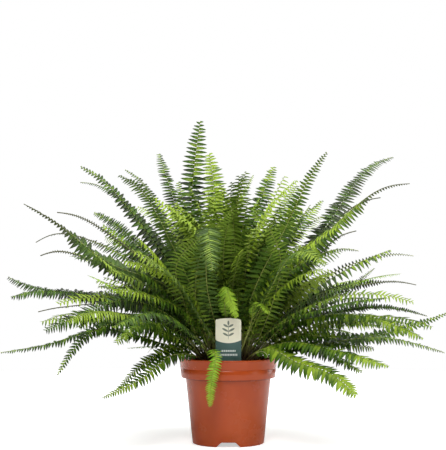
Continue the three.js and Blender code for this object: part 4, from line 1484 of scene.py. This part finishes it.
@dataclass
class InnerGrowth:
    """The shorter fronds in the heart of the plant, which fill it between the long ones.

    KEPT_CLEAR lists the spaces in front of the label and the pot that they stay out of, each with half
    its width, its back and its top in metres.
    """

    foliage: Foliage  # The foliage whose leaflets and finishes they share
    # The layers
    tiers: tuple[Tier, ...] = (
        Tier("heart_fronds", 25, (225.0, 325.0), (25.0, 88.0), (15.0, 80.0), (42.0, 62.0), (0.25, 1.7), 7),
        Tier("skirt_fronds", 22, (265.0, 190.0), (0.0, 44.0), (40.0, 75.0), (38.0, 54.0), (0.0, 1.2), 11),
    )
    young_share: float = 0.1  # Share of the fronds that are young and bright
    young_width: float = 0.6  # Width of those beside the others
    tries: int = 30  # How many lines are drawn before a frond is left out
    spread: float = 0.32  # How much further they reach to the sides than to the front and back
    feet: Pair = (8.0, 52.0)  # Least and greatest distance of a foot from the axis, in mm
    lengths: Pair = (0.7, 1.1)  # Least and greatest length beside the way to the dome
    sweep: float = 0.8  # Most that they swing sideways, in radians
    turns: Pair = (0.0, 40.0)  # Least and most degrees that their upper faces turn to the viewer
    droops: Pair = (-10.0, 20.0)  # Least and most degrees that their leaflets hang down
    painted_sheens: Pair = (0.0, 0.2)  # Lowest and highest share of painted sheen
    twists: Pair = (0.3, 1.0)  # Least and strongest turn of the leaflets to the sky
    steps: int = 30  # Number of straight pieces in a midrib
    gap: float = 0.165  # Mean distance between leaflets, as a share of the width
    fill: float = 0.7  # Breadth of their leaflets beside that distance
    bare: float = 0.19  # Share of their length, from the foot, that has no leaflets

    KEPT_CLEAR = ((0.05, -0.036, 0.245), (0.095, -0.085, 0.15))

    def midrib(self, tier: Tier, rng: np.random.Generator, heading: float) -> Midrib:
        """Draws one arching midrib.

        Args:
            tier: The layer that it belongs to.
            rng: Source of random numbers.
            heading: Compass direction in radians.

        Returns:
            The midrib.
        """
        start = rng.uniform(*self.feet)
        aim = math.radians(rng.uniform(*tier.aims))
        reach = tier.reach[0] * (1 + self.spread * abs(math.cos(heading)))
        near = math.hypot(math.cos(aim) / reach, math.sin(aim) / tier.reach[1])
        length = rng.uniform(*self.lengths) / near
        bend = math.radians(rng.uniform(*tier.bends))
        sweep = rng.uniform(-self.sweep, self.sweep)
        share = np.linspace(0, 1, self.steps + 1)
        pitch = np.minimum(aim + bend * 0.5 - bend * (share ** 1.5 - 0.1), math.radians(89))
        foot = around(start, heading, self.foliage.root_level)
        return Midrib(arch(foot, pitch, heading + sweep * share, length) * MM, rng.uniform(*self.turns))

    def blade(self, tier: Tier, rng: np.random.Generator) -> Blade:
        """Draws the look of one blade.

        Args:
            tier: The layer that it belongs to.
            rng: Source of random numbers.

        Returns:
            The look of the blade.
        """
        young = rng.uniform() < self.young_share
        width, tone = rng.uniform(*tier.widths), rng.uniform(*tier.tones)
        return Blade(width * (self.young_width if young else 1.0), YOUNG if young else FULL,
                     rng.uniform(*self.droops), tone, rng.uniform(*self.painted_sheens), self.gap, self.fill,
                     rng.uniform(*self.twists), self.bare)

    def is_clear(self, midrib: Midrib) -> bool:
        """Says if a midrib stays out of the spaces that are kept clear."""
        x, y, z = midrib.points.T
        return not any(np.any((abs(x) < w) & (y < back) & (z < top)) for w, back, top in self.KEPT_CLEAR)

    def quarter(self, tier: Tier, rng: np.random.Generator, start: float) -> list[Object]:
        """Grows the fronds of one quarter of a layer.

        Args:
            tier: The layer.
            rng: Source of random numbers.
            start: Compass direction in degrees where the quarter starts.

        Returns:
            The fronds, not in the scene yet.
        """
        fronds = []
        for index in range(tier.count):
            heading = math.radians(start + 90 * (index + rng.uniform(0.1, 0.9)) / tier.count)
            drawn = (self.midrib(tier, rng, heading) for _ in range(self.tries))
            midrib = next(filter(self.is_clear, drawn), None)
            if midrib is not None:
                blade = self.blade(tier, rng)
                fronds.append(self.foliage.grow(midrib, f"short_{index}", blade, self.foliage.light_leaflets))
        return fronds

    def build(self) -> None:
        """Grows the fronds, one piece for each layer and quarter and one for the listed ones."""
        for tier in self.tiers:
            rng = np.random.default_rng(tier.seed)
            for number, name in enumerate(("right", "back", "left", "front")):
                fronds = self.quarter(tier, rng, number * 90 - 45)
                add_piece(joined(f"{tier.name}_{name}", fronds))
        filling = []
        for index, route in enumerate(FILLING_FRONDS):
            midrib = Midrib.through(route, self.foliage.root_level)
            leaflets = self.foliage.light_leaflets
            filling.append(self.foliage.grow(midrib, f"filling_{index}", route.blade, leaflets))
        add_piece(joined("filling_fronds", filling))


# Ground


def turned(name: str, rows: Sequence[Pair], columns: int, raised: Callable[..., float]) -> Object:
    """Turns a section round the upright axis.

    Args:
        name: Name of the object.
        rows: Radius and height in mm of the section's points, from the axis below to the axis above.
        columns: Number of columns.
        raised: Gives a point's final height in mm for its place and plain height in mm.

    Returns:
        The object.
    """
    vertices: list[Point] = [(0.0, 0.0, rows[0][1] * MM)]
    for radius, height in rows[1:-1]:
        for x, y in circle(radius, columns):
            vertices.append((x * MM, y * MM, raised(x, y, height) * MM))
    vertices.append((0.0, 0.0, rows[-1][1] * MM))
    top = len(vertices) - 1
    last = top - columns
    faces: list[Face] = []
    for here, after in pairs(columns):
        faces.append((0, 1 + after, 1 + here))
        for low in range(1, last, columns):
            high = low + columns
            faces.append((low + here, low + after, high + after, high + here))
        faces.append((last + here, last + after, top))
    solid = mesh_object(name, vertices, faces)
    solid.data.shade_smooth()
    return solid


@dataclass(frozen=True)
class Lumps:
    """Makes the upper side of a turned section lumpy."""

    relief: float  # Height of the lumps in mm
    density: float  # Number of lumps in a mm
    above: float  # Height in mm above which the surface is lumpy

    def __call__(self, x: float, y: float, height: float) -> float:
        """Gives the height in mm of a point that the lumps move."""
        lump = noise.fractal(Vector((x, y, height)) * self.density, 0.9, 2.1, 3)
        return height + self.relief * lump if height > self.above else height


def grain(name: str, detail: int, roughness: float, seed: int) -> Object:
    """Makes a rough lump about two units across.

    Args:
        name: Name of the object.
        detail: Number of subdivisions.
        roughness: How uneven it is.
        seed: Seed of its bumps.

    Returns:
        The object.
    """
    rng = np.random.default_rng(seed)
    shape = bmesh.new()
    bmesh.ops.create_icosphere(shape, subdivisions=detail, radius=1.0)
    for vertex in shape.verts:
        vertex.co *= 1.0 + roughness * float(rng.uniform(-1, 1))
    mesh = bpy.data.meshes.new(name)
    shape.to_mesh(mesh)
    shape.free()
    mesh.shade_smooth()
    return bpy.data.objects.new(name, mesh)


class ScatterRecipe(Recipe):
    """Scatters small shapes over the faces of a mesh, which is left out of the result."""

    INPUTS = {
        "Density": 1000.0, "Smallest": 0.001, "Largest": 0.002, "Stretch": 1.0, "Upright": 0.0, "Seed": 1,
        "Shapes": "NodeSocketCollection", "Finish": "NodeSocketMaterial",
    }

    def __init__(self, picks: int) -> None:
        """Builds the tree.

        Args:
            picks: Number of shapes in the collection.
        """
        super().__init__("scattered_shapes", self.INPUTS)
        given, seed = self.given, self.given["Seed"]
        inputs = {"Mesh": given["Geometry"], "Density": given["Density"], "Seed": seed}
        scatter = self.add("GeometryNodeDistributePointsOnFaces", inputs).outputs
        stray = self.random((-1, -1, -1), (1, 1, 1), seed, "FLOAT_VECTOR")
        upright = self.scaled(scatter["Normal"], given["Upright"])
        axis = {"Vector": self.vector("ADD", upright, stray)}
        turn = self.out("FunctionNodeAlignRotationToVector", "Rotation", axis, axis="Z")
        size = self.random(given["Smallest"], given["Largest"], self.plus(seed, 1.0))
        scale = self.compose(X=size, Y=size, Z=self.times(size, given["Stretch"]))
        grains = self.instances(given["Shapes"], picks, seed, scatter["Points"], turn, scale)
        self.close(grains, ((given["Finish"], True),))


class TubeRecipe(Recipe):
    """Gives lines of edges a thickness, which shrinks towards their ends."""

    SIDES = 7  # Number of sides of a tube

    def __init__(self) -> None:
        """Builds the tree."""
        super().__init__("thin_tubes", {"Radius": 0.001, "Tip": 0.5, "Finish": "NodeSocketMaterial"})
        given = self.given
        line = self.out("GeometryNodeMeshToCurve", "Curve", {"Mesh": given["Geometry"]})
        line = self.store(line, "share", self.out("GeometryNodeSplineParameter", "Factor"))
        radius = self.times(self.ramp(self.named("share"), 0.0, 1.0, 1.0, given["Tip"]), given["Radius"])
        self.close(self.tube(line, radius, self.SIDES), ((given["Finish"], True),))


@dataclass
class Ground:
    """The root ball with its crumbs and white grains, and the scaly crown."""

    level: float = 133.0  # Height of the soil in mm
    edge_drop: float = 3.0  # How far the soil is lower along the pot's wall, in mm
    edge_inset: float = 4.0  # Width of that lower edge in mm
    crumb_density: float = 125000.0  # Number of crumbs on a square metre of soil
    white_density: float = 13000.0  # Number of white grains on a square metre of soil
    scale_density: float = 75000.0  # Number of scales on a square metre of the crown
    gap: float = 0.5  # Gap to the pot in mm
    columns: int = 96  # Number of columns
    crown_rings: int = 19  # Number of rings that the crown's dome is made of
    shapes: int = 3  # Number of shapes that the crumbs, grains and scales pick from

    def edge(self, pot: "NurseryPot") -> float:
        """Gives the radius in mm of the soil's surface."""
        return pot.wall_radius(self.level) - pot.wall - self.gap

    def section(self, pot: "NurseryPot") -> list[Pair]:
        """Gives the root ball's section.

        Args:
            pot: The pot that holds it.

        Returns:
            Radius and height in mm, from the axis below to the axis above.
        """
        floor = pot.floor_underside + pot.floor_thickness + self.gap
        ledge = pot.height - pot.band_height + pot.wall
        lowest = pot.wall_radius(floor + 4) - pot.wall - self.gap
        throat = pot.shoulder_radius - pot.wall - 2 * self.gap
        edge = self.edge(pot)
        rows = [(0.0, floor), (lowest - 3, floor), (lowest, floor + 4), (throat, ledge - 2)]
        rows += [(throat, ledge + 1), (edge - 0.3, ledge + 1), (edge, self.level - self.edge_drop)]
        inside = edge - self.edge_inset
        rings = int(inside / 3)
        rows += [(inside * (1 - ring / rings), self.level) for ring in range(rings)]
        return rows + [(0.0, self.level)]

    def crown_section(self) -> list[Pair]:
        """Gives the crown's section.

        Returns:
            Radius and height in mm, from the axis below to the axis above.
        """
        low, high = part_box("crown")
        radius = (high.x - low.x) / 2 / MM
        bottom, top = low.z / MM, high.z / MM
        brim = self.level + 3
        rows = [(0.0, bottom), (radius - 1.5, bottom), (radius, self.level), (radius, brim)]
        for step in range(1, self.crown_rings):
            share = 1 - step / self.crown_rings
            rows.append((radius * share, top - (top - brim) * share ** 3))
        return rows + [(0.0, top)]

    def patch(self, name: str, radii: Pair, level: float) -> Object:
        """Makes a flat ring to scatter on.

        Args:
            name: Name of the object.
            radii: Inner and outer radius in mm.
            level: Height in mm.

        Returns:
            The object.
        """
        count = self.columns
        vertices = [(x * MM, y * MM, level * MM) for radius in radii for x, y in circle(radius, count)]
        faces = [(here, count + here, count + after, after) for here, after in pairs(count)]
        return mesh_object(name, vertices, faces)

    def build(self, pot: "NurseryPot") -> None:
        """Builds the root ball, its grains and the crown.

        Args:
            pot: The pot that holds them.
        """
        grains = bpy.data.collections.new("grains")
        for index in range(self.shapes):
            grains.objects.link(grain(f"grain_{index}", 1, 0.28, index))
        scatter = ScatterRecipe(self.shapes)
        earth = EarthFinish("peat", dark=paint(20, 14, 10), light=paint(84, 62, 44), scale=420.0,
                            relief=1.2 * MM).make()
        ball = turned("root_ball", self.section(pot), self.columns, Lumps(1.8, 0.16, self.level - 0.1))
        ball.data.materials.append(earth)
        edge = self.edge(pot)
        crumbs = scatter.apply(self.patch("crumb_bed", (40.0, edge - 3.5), self.level), "crumbs", {
            "Shapes": grains, "Density": self.crumb_density, "Smallest": 0.5 * MM, "Largest": 1.9 * MM,
            "Seed": 3, "Finish": earth})
        add_piece(joined("root_ball_surface", [ball, crumbs]), ("potting_soil",))
        white = PlainFinish("perlite", paint(222, 218, 206), paint(176, 168, 152), 0.85).make()
        bed = self.patch("speck_bed", (48.0, edge - 4.0), self.level + 0.8)
        specks = scatter.apply(bed, "perlite_grains", {
            "Shapes": grains, "Density": self.white_density, "Smallest": 0.7 * MM, "Largest": 1.9 * MM,
            "Seed": 5, "Finish": white})
        add_piece(specks)
        scaly = EarthFinish("rhizome_scales", dark=paint(30, 19, 11), light=paint(110, 76, 44), scale=240.0,
                            relief=1.5 * MM).make()
        section = self.crown_section()
        dome = turned("crown_dome", section, self.columns, Lumps(2.2, 0.12, self.level + 3.5))
        dome.data.materials.append(scaly)
        bed = turned("scale_bed", section[3:], self.columns // 2, Lumps(0.0, 1.0, self.level))
        scales = scatter.apply(bed, "crown_scales", {
            "Shapes": grains, "Density": self.scale_density, "Smallest": 0.4 * MM, "Largest": 1.1 * MM,
            "Stretch": 3.2, "Upright": 1.2, "Seed": 9, "Finish": scaly})
        add_piece(joined("scaly_crown", [dome, scales]), ("crown",))
        for shape in list(grains.objects):
            bpy.data.objects.remove(shape)
        bpy.data.collections.remove(grains)


@dataclass(frozen=True)
class StalkKind:
    """A kind of leafless stalk."""

    name: str  # Name of its piece
    count: int  # Number of stalks
    radii: Pair  # Least and greatest distance of a foot from the axis, in mm
    lengths: Pair  # Least and greatest length in mm
    tilt: float  # Most degrees that a stalk leans by
    sag: float  # Most degrees that it bends down by
    radius: float  # Radius at the foot in mm
    tip: float  # Thickness of the tip beside the foot
    finish: StalkFinish  # Its finish


STALK_KINDS = (
    StalkKind("stalk_stubs", 44, (8, 52), (10, 34), 40, 10, 1.1, 0.8, StalkFinish(
        "old_stalk", foot=paint(52, 34, 18), stem=paint(92, 66, 36), tip=paint(70, 52, 32))),
    StalkKind("bare_stems", 46, (12, 52), (60, 150), 62, 30, 0.75, 0.5, StalkFinish(
        "bare_stem", foot=paint(66, 46, 24), stem=paint(112, 108, 50), tip=paint(120, 124, 58))),
    StalkKind("runners", 9, (50, 55), (70, 130), 50, 150, 0.55, 0.6, StalkFinish(
        "runner", foot=paint(120, 108, 70), stem=paint(168, 162, 120), tip=paint(186, 180, 146))),
)


@dataclass
class BareStalks:
    """Leafless stalks: old stubs on the crown, bare stems in the heart and thin runners."""

    kinds: tuple[StalkKind, ...] = STALK_KINDS  # The kinds of stalks
    crown_level: float = 141.0  # Height in mm from which they rise
    steps: int = 12  # Number of straight pieces in a stalk
    bends: Pair = (0.3, 1.0)  # Least and greatest share of the most tilt and sag
    sweep: float = 0.8  # Most that a stalk swings sideways, in radians
    kept_clear: Pair = (30.0, -50.0)  # Half the width and the back of the clear space at the label, in mm
    seed: int = 21  # Seed of their places

    @staticmethod
    def bundle(name: str, lines: Sequence[np.ndarray]) -> Object:
        """Makes one object of several lines of edges.

        Args:
            name: Name of the object.
            lines: Points of each line, in mm.

        Returns:
            The object.
        """
        vertices: list[np.ndarray] = []
        edges: list[tuple[int, int]] = []
        for line in lines:
            first = len(vertices)
            vertices += list(line * MM)
            edges += [(first + i, first + i + 1) for i in range(len(line) - 1)]
        return mesh_object(name, vertices, (), edges)

    def rising(self, rng: np.random.Generator, kind: StalkKind) -> np.ndarray:
        """Draws a line that rises from the crown and leans outwards.

        Args:
            rng: Source of random numbers.
            kind: The kind of stalk.

        Returns:
            Its points, in mm.
        """
        radius, heading = rng.uniform(*kind.radii), rng.uniform(0, 2 * math.pi)
        length, lean = rng.uniform(*kind.lengths), math.radians(rng.uniform(*self.bends) * kind.tilt)
        share = np.linspace(0, 1, self.steps + 1)
        pitch = math.pi / 2 - lean - math.radians(rng.uniform(*self.bends) * kind.sag) * share
        yaw = heading + rng.uniform(-self.sweep, self.sweep) * share
        return arch(around(radius, heading, self.crown_level), pitch, yaw, length)

    def is_clear(self, line: np.ndarray) -> bool:
        """Says if a line of points in mm doesn't pass in front of the label."""
        x, y, _ = line.T
        return not np.any((abs(x) < self.kept_clear[0]) & (y < self.kept_clear[1]))

    def build(self) -> None:
        """Builds the stalks, one piece for each kind."""
        rng = np.random.default_rng(self.seed)
        recipe = TubeRecipe()
        for kind in self.kinds:
            drawn = [self.rising(rng, kind) for _ in range(kind.count)]
            lines = self.bundle(f"{kind.name}_lines", list(filter(self.is_clear, drawn)))
            values = {"Radius": kind.radius * MM, "Tip": kind.tip, "Finish": kind.finish.make()}
            add_piece(recipe.apply(lines, kind.name, values))


@dataclass
class PlantLabel:
    """The printed stick-in label, slightly bowed from side to side."""

    corner: float = 2.6  # Radius of its upper corners in mm
    crest: float = 1.2  # How far its top edge rises in the middle, in mm
    crest_from: float = 190.0  # Height in mm from which its face rises with that edge
    shoulder: float = 126.0  # Height in mm where it starts to narrow
    straight_to: float = 196.0  # Height in mm up to which its sides are straight
    tip_width: float = 5.0  # Width of its point in mm
    bow: float = 1.0  # How far its sides stand behind its middle, in mm
    columns: int = 24  # Number of columns
    rows: tuple[int, ...] = (8, 12, 8)  # Number of rows of the stake, the straight part and the corners
    half: float = field(init=False)  # Half its width in mm
    front: float = field(init=False)  # Place of its printed side from front to back, in mm
    back: float = field(init=False)  # Place of its plain side, in mm
    bottom: float = field(init=False)  # Height of its point in mm
    corners: float = field(init=False)  # Height of its upper corners in mm

    def __post_init__(self) -> None:
        """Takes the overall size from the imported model."""
        low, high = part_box("plant_label")
        self.half = (high.x - low.x) / 2 / MM
        self.front, self.back = low.y / MM, high.y / MM
        self.bottom = low.z / MM
        self.corners = high.z / MM - self.crest * 1.4

    def half_width(self, z: float) -> float:
        """Gives half the label's width at a height, both in mm.

        Args:
            z: The height.

        Returns:
            Half the width there.
        """
        if z < self.shoulder:
            share = (z - self.bottom) / (self.shoulder - self.bottom)
            return self.tip_width / 2 + (self.half - self.tip_width / 2) * share
        rise = max(z - (self.corners - self.corner), 0.0)
        return self.half - self.corner + math.sqrt(max(self.corner ** 2 - rise ** 2, 0.0))

    def heights(self) -> list[float]:
        """Lists the heights of the label's rows: the stake, the straight part and the round corners.

        Returns:
            The heights in mm, from the point up.
        """
        stake, straight, corners = self.rows
        rows = [*np.linspace(self.bottom, self.shoulder, stake)]
        rows += [*np.linspace(self.shoulder + 4, self.straight_to, straight)]
        for angle in np.linspace(0, 78, corners):
            rows.append(self.corners - self.corner * (1 - math.sin(math.radians(angle))))
        return rows

    def vertices(self) -> list[Point]:
        """Places the vertices: row by row from side to side, each in front and behind.

        Returns:
            The vertices in metres.
        """
        vertices: list[Point] = []
        for z in self.heights():
            width = self.half_width(z)
            rise = max((z - self.crest_from) / (self.corners - self.crest_from), 0.0)
            for column in range(self.columns + 1):
                x = width * (2 * column / self.columns - 1)
                off = (x / self.half) ** 2
                crest = self.crest * 2 * (1 - off) * rise
                for y in (self.front, self.back):
                    vertices.append((x * MM, (y + self.bow * off) * MM, (z + crest) * MM))
        return vertices

    def build(self) -> None:
        """Builds the label."""
        vertices = self.vertices()
        across = 2 * (self.columns + 1)
        last = len(vertices) - across
        faces: list[Face] = []
        for low in range(0, last, across):
            for a in range(low, low + across - 2, 2):
                b = a + across
                faces.append((a, a + 2, b + 2, b))
                faces.append((a + 1, b + 1, b + 3, a + 3))
            high = low + across
            faces.append((low, high, high + 1, low + 1))
            faces.append((high - 2, high - 1, high + across - 1, high + across - 2))
        for a in range(0, across - 2, 2):
            faces.append((a, a + 1, a + 3, a + 2))
            b = last + a
            faces.append((b, b + 2, b + 3, b + 1))
        label = mesh_object("printed_label", vertices, faces)
        label.data.materials.append(PrintedPlastic(
            "printed_plastic", panel=(paint(234, 229, 205), paint(240, 236, 214)),
            lower=(paint(62, 92, 86), paint(74, 104, 98)), drawing=paint(70, 88, 72),
            blocks=paint(236, 241, 236), edge_height=178 * MM, edge_bow=5 * MM,
            half_width=self.half * MM).make())
        add_piece(label, ("plant_label",))


# Pot


@dataclass
class NurseryPot:
    """The moulded pot, with its rim band, groove, lip, notched foot and raised floor."""

    band_height: float = 33.0  # Height of the rim band in mm
    band_foot_radius: float = 81.0  # Outer radius at the band's lower edge in mm
    shoulder_radius: float = 73.5  # Outer radius just below the band in mm
    foot_radius: float = 61.5  # Outer radius at the foot in mm
    wall: float = 1.6  # Thickness of the wall in mm
    foot_wall: float = 2.6  # Thickness of the foot ring in mm
    floor_underside: float = 8.5  # Height of the floor's underside in mm
    floor_thickness: float = 1.8  # Thickness of the floor in mm
    groove_below_rim: float = 17.0  # Depth of the groove's middle below the lip in mm
    notch_widths: Pair = (41.0, 24.0)  # Width of a notch at the ground and at its top in mm
    notch_height: float = 8.0  # Height of a notch in mm
    notch_count: int = 3  # Number of notches
    notch_lift: float = 9.9  # Height in mm up to which the wall's rows are raised above a notch
    drain_radius: float = 5.0  # Radius of a drain hole in mm
    drain_circle: float = 42.0  # Distance of the drain holes from the axis in mm
    drain_count: int = 6  # Number of drain holes
    drain_sides: int = 20  # Number of sides of a drain hole
    columns: int = 180  # Number of columns round the pot
    height: float = field(init=False)  # Height of the lip in mm
    rim_radius: float = field(init=False)  # Outer radius of the lip in mm
    band_foot: float = field(init=False)  # Height of the rim band's lower edge in mm

    def __post_init__(self) -> None:
        """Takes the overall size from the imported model."""
        low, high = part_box("pot")
        self.height = (high.z - low.z) / MM
        self.rim_radius = (high.x - low.x) / 2 / MM
        self.band_foot = self.height - self.band_height

    def wall_radius(self, z: float) -> float:
        """Gives the outer radius of the plain wall at a height.

        Args:
            z: The height in mm.

        Returns:
            The radius in mm.
        """
        if z < self.band_foot:
            return self.foot_radius + (self.shoulder_radius - self.foot_radius) * z / self.band_foot
        share = (z - self.band_foot) / self.band_height
        return self.band_foot_radius + (self.rim_radius - 0.5 - self.band_foot_radius) * share

    @staticmethod
    def round_edge(corner: Pair, radius: float, start: float, end: float, steps: int = 4) -> list[Pair]:
        """Rounds a corner of the profile by an arc about its centre, between two angles in degrees."""
        angles = np.radians(np.linspace(start, end, steps + 1))
        return [(corner[0] + radius * math.cos(a), corner[1] + radius * math.sin(a)) for a in angles]

    def on_wall(self, *places: Pair) -> list[Pair]:
        """Lists points of the profile, each given by its height and its depth behind the wall's face."""
        return [(self.wall_radius(z) - inset, z) for z, inset in places]

    def profile(self) -> list[Pair]:
        """Gives the pot's section.

        Returns:
            Radius and height in mm, from the axis below round the wall to the axis above the floor.
        """
        band_foot, lip, top = self.band_foot, self.rim_radius, self.height
        groove = top - self.groove_below_rim
        floor_top = self.floor_underside + self.floor_thickness
        ledge = band_foot + self.wall
        hem = self.wall_radius(0) - self.foot_wall
        rows = self.on_wall((self.floor_underside, self.foot_wall))
        rows += [(hem, 0.5), (hem + 0.5, 0)]
        rows += self.round_edge((self.foot_radius - 1.2, 1.2), 1.2, -90, 0)
        rows += self.on_wall(*((z, 0.0) for z in (10.0, 30.0, 55.0, 80.0, 100.0)))
        rows += self.round_edge((self.shoulder_radius + 1.2, band_foot - 1.2), 1.2, 180, 90)
        rows += self.round_edge((self.band_foot_radius - 0.9, band_foot + 0.9), 0.9, -90, 0)
        rows += self.on_wall((band_foot + 6, 0.0), (groove - 1.4, 0.0))
        face = self.wall_radius(groove)
        rows += [(face - 0.45, groove - 0.8), (face - 0.8, groove), (face - 0.35, groove + 0.7)]
        rows += [(face, groove + 1.2), *self.on_wall((top - 3.4, 0.0))]
        rows += self.round_edge((lip - 0.9, top - 1.7), 0.9, -60, 0, 3)
        rows += self.round_edge((lip - 0.9, top - 0.9), 0.9, 0, 90, 4)
        inner_lip = self.wall_radius(top) - self.wall
        rows += self.round_edge((inner_lip + 0.5, top - 0.5), 0.5, 90, 180, 3)
        inside = self.wall_radius(ledge) - self.wall
        rows += [(inside, ledge + 0.4), (inside - 0.6, ledge), (self.shoulder_radius - self.wall, ledge)]
        rows += self.on_wall((floor_top + 3, self.wall), (floor_top, self.wall + 2.5))
        return [(0.0, self.floor_underside), *rows, (0.0, floor_top)]

    def raised(self, x: float, y: float, z: float) -> float:
        """Gives the height of a point of the shell, whose hem is raised in the notches.

        Args:
            x: Place to the right in mm.
            y: Place to the back in mm.
            z: The point's plain height in mm.

        Returns:
            The height in mm.
        """
        step = 360 / self.notch_count
        away = (math.degrees(math.atan2(y, x)) + 90 + step / 2) % step - step / 2
        side = abs(math.sin(math.radians(away))) * self.foot_radius
        ground, top = self.notch_widths[0] / 2, self.notch_widths[1] / 2
        hem = self.notch_height * min(max((ground - side) / (ground - top), 0.0), 1.0)
        if z == self.floor_underside:
            return z + 0.6 if hem > 0 else z
        return z if z > self.notch_lift else hem + z * (1 - hem / self.notch_lift)

    def drains(self) -> Object:
        """Makes the cutters of the drain holes, as one object.

        Returns:
            The object.
        """
        low, high = self.floor_underside - 4, self.floor_underside + self.floor_thickness + 4
        rows = [(0.0, low), (self.drain_radius, low), (self.drain_radius, high), (0.0, high)]
        cutters = []
        for x, y in circle(self.drain_circle, self.drain_count):
            cutters.append(turned("drain_cutter", rows, self.drain_sides, Lumps(0.0, 1.0, high)))
            cutters[-1].data.transform(Matrix.Translation((x * MM, y * MM, 0.0)))
        return joined("drain_cutters", cutters)

    def build(self) -> None:
        """Builds the pot and puts it in place of its plain solid."""
        pot, cutters = turned("nursery_pot", self.profile(), self.columns, self.raised), self.drains()
        for part in (pot, cutters):
            bpy.context.scene.collection.objects.link(part)
        cut = pot.modifiers.new("drains", "BOOLEAN")
        cut.operation, cut.object, cut.solver = "DIFFERENCE", cutters, "EXACT"
        mesh = evaluated_mesh(pot)
        bpy.data.objects.remove(cutters)
        mesh.shade_smooth()
        mesh.set_sharp_from_angle(angle=math.radians(50))
        mesh.materials.clear()
        mesh.materials.append(MouldedPlastic(
            "terracotta_plastic", body=paint(166, 66, 24), warm=paint(180, 80, 30),
            dust=paint(178, 112, 80), speck=paint(110, 48, 28), painted_ledge_shade=paint(84, 32, 16),
            roughness=0.26, ledge=self.band_foot * MM).make())
        add_piece(bpy.data.objects.new("nursery_pot_shell", mesh), ("pot",))


# Studio


@dataclass(frozen=True)
class Softbox:
    """A soft light."""

    name: str  # Name of the light
    place: Point  # Where it stands, in metres
    aim: Point  # What it points at, in metres
    size: Pair  # Width and height in metres
    power: float  # Power in watts

    def build(self) -> None:
        """Puts the light into the scene."""
        data = bpy.data.lights.new(self.name, "AREA")
        data.shape, data.energy = "RECTANGLE", self.power
        data.size, data.size_y = self.size
        stand(bpy.data.objects.new(self.name, data), self.place, self.aim)


def stand(thing: Object, place: Point, aim: Point) -> None:
    """Puts a light or camera into the scene.

    Args:
        thing: The object.
        place: Where it stands, in metres.
        aim: What it looks at, in metres.
    """
    bpy.context.scene.collection.objects.link(thing)
    thing.location = place
    thing.rotation_euler = (Vector(aim) - Vector(place)).to_track_quat("-Z", "Y").to_euler()


@dataclass
class Studio:
    """The plain pale floor, the soft lights and the camera."""

    camera_place: Point = (-0.009, -1.8, 0.26)  # Where the camera stands, in metres
    camera_aim: Point = (-0.009, 0.0, 0.375)  # What it looks at, in metres
    lens: float = 82.7  # Focal length in mm
    floor_radius: float = 1.7  # Radius of the round floor, in metres
    floor_sides: int = 96  # Number of its sides
    floor_glow: float = 0.6  # How much the floor's shadows are lifted for the camera
    ambient: float = 0.04  # Brightness of the room's light
    # The soft lights
    softboxes: tuple[Softbox, ...] = (
        Softbox("top_box", (0.0, -0.2, 2.2), (0.0, 0.0, 0.2), (2.2, 1.8), 68.0),
        Softbox("key_box", (-0.15, -1.7, 1.7), (0.0, 0.0, 0.3), (0.7, 0.7), 23.0),
        Softbox("back_box", (0.0, 2.2, 0.9), (0.0, 0.0, 0.3), (3.0, 1.4), 24.0),
        Softbox("left_box", (-1.9, -1.0, 0.7), (0.0, 0.0, 0.2), (0.5, 1.4), 2.0),
        Softbox("right_box", (1.8, -0.9, 0.7), (0.0, 0.0, 0.2), (0.5, 1.4), 7.0),
        Softbox("left_rim", (-1.1, 1.6, 0.4), (0.0, 0.0, 0.15), (0.6, 1.0), 2.5),
        Softbox("right_rim", (1.45, 0.8, 0.4), (0.0, 0.0, 0.15), (0.5, 1.0), 6.0),
    )

    def floor(self) -> None:
        """Lays the floor."""
        vertices = [(x, y, 0.0) for x, y in circle(self.floor_radius, self.floor_sides)]
        floor = mesh_object("floor", vertices, [tuple(range(len(vertices)))])
        graph = MaterialGraph("pale_floor")
        colour = graph.blend(paint(240, 240, 240), paint(246, 246, 246), graph.uneven(2.0, 0.3, 0.7))
        glow = graph.times(graph.out("ShaderNodeLightPath", "Is Camera Ray"), self.floor_glow)
        floor.data.materials.append(graph.finish(graph.shader(
            Base_Color=colour, Roughness=0.8, Specular_IOR_Level=0.1, Emission_Color=colour,
            Emission_Strength=glow)))
        bpy.context.scene.collection.objects.link(floor)

    def room(self) -> None:
        """Sets the room's even light and the white that the camera sees behind the plant."""
        world = bpy.data.worlds.new("studio_room")
        bpy.context.scene.world = world
        world.use_nodes = True
        graph = Graph(world.node_tree)
        white = (1.0, 1.0, 1.0, 1.0)
        seen = graph.out("ShaderNodeLightPath", "Is Camera Ray")
        light = graph.out("ShaderNodeBackground", 0, {"Color": white, "Strength": self.ambient})
        backdrop = graph.out("ShaderNodeBackground", 0, {"Color": white, "Strength": 1.0})
        mixed = graph.out("ShaderNodeMixShader", 0, {0: seen, 1: light, 2: backdrop})
        graph.add("ShaderNodeOutputWorld", {"Surface": mixed})

    def camera(self) -> None:
        """Sets up the camera at the picture's angle."""
        data = bpy.data.cameras.new("camera")
        data.lens, data.sensor_width = self.lens, 36.0
        camera = bpy.data.objects.new("camera", data)
        stand(camera, self.camera_place, self.camera_aim)
        bpy.context.scene.camera = camera

    def build(self) -> None:
        """Builds the whole studio."""
        bpy.context.scene.view_settings.view_transform = "Standard"
        self.floor()
        self.room()
        for softbox in self.softboxes:
            softbox.build()
        self.camera()


def main() -> None:
    """Builds the studio and the plant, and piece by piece."""
    logging.basicConfig(level=logging.INFO, format="%(name)s %(message)s")
    Studio().build()
    pot = NurseryPot()
    pot.build()
    Ground().build(pot)
    PlantLabel().build()
    foliage = Foliage()
    foliage.build()
    InnerGrowth(foliage).build()
    BareStalks().build()
    foliage.leaflets.remove()
    foliage.light_leaflets.remove()


if __name__ == "__main__":
    main()
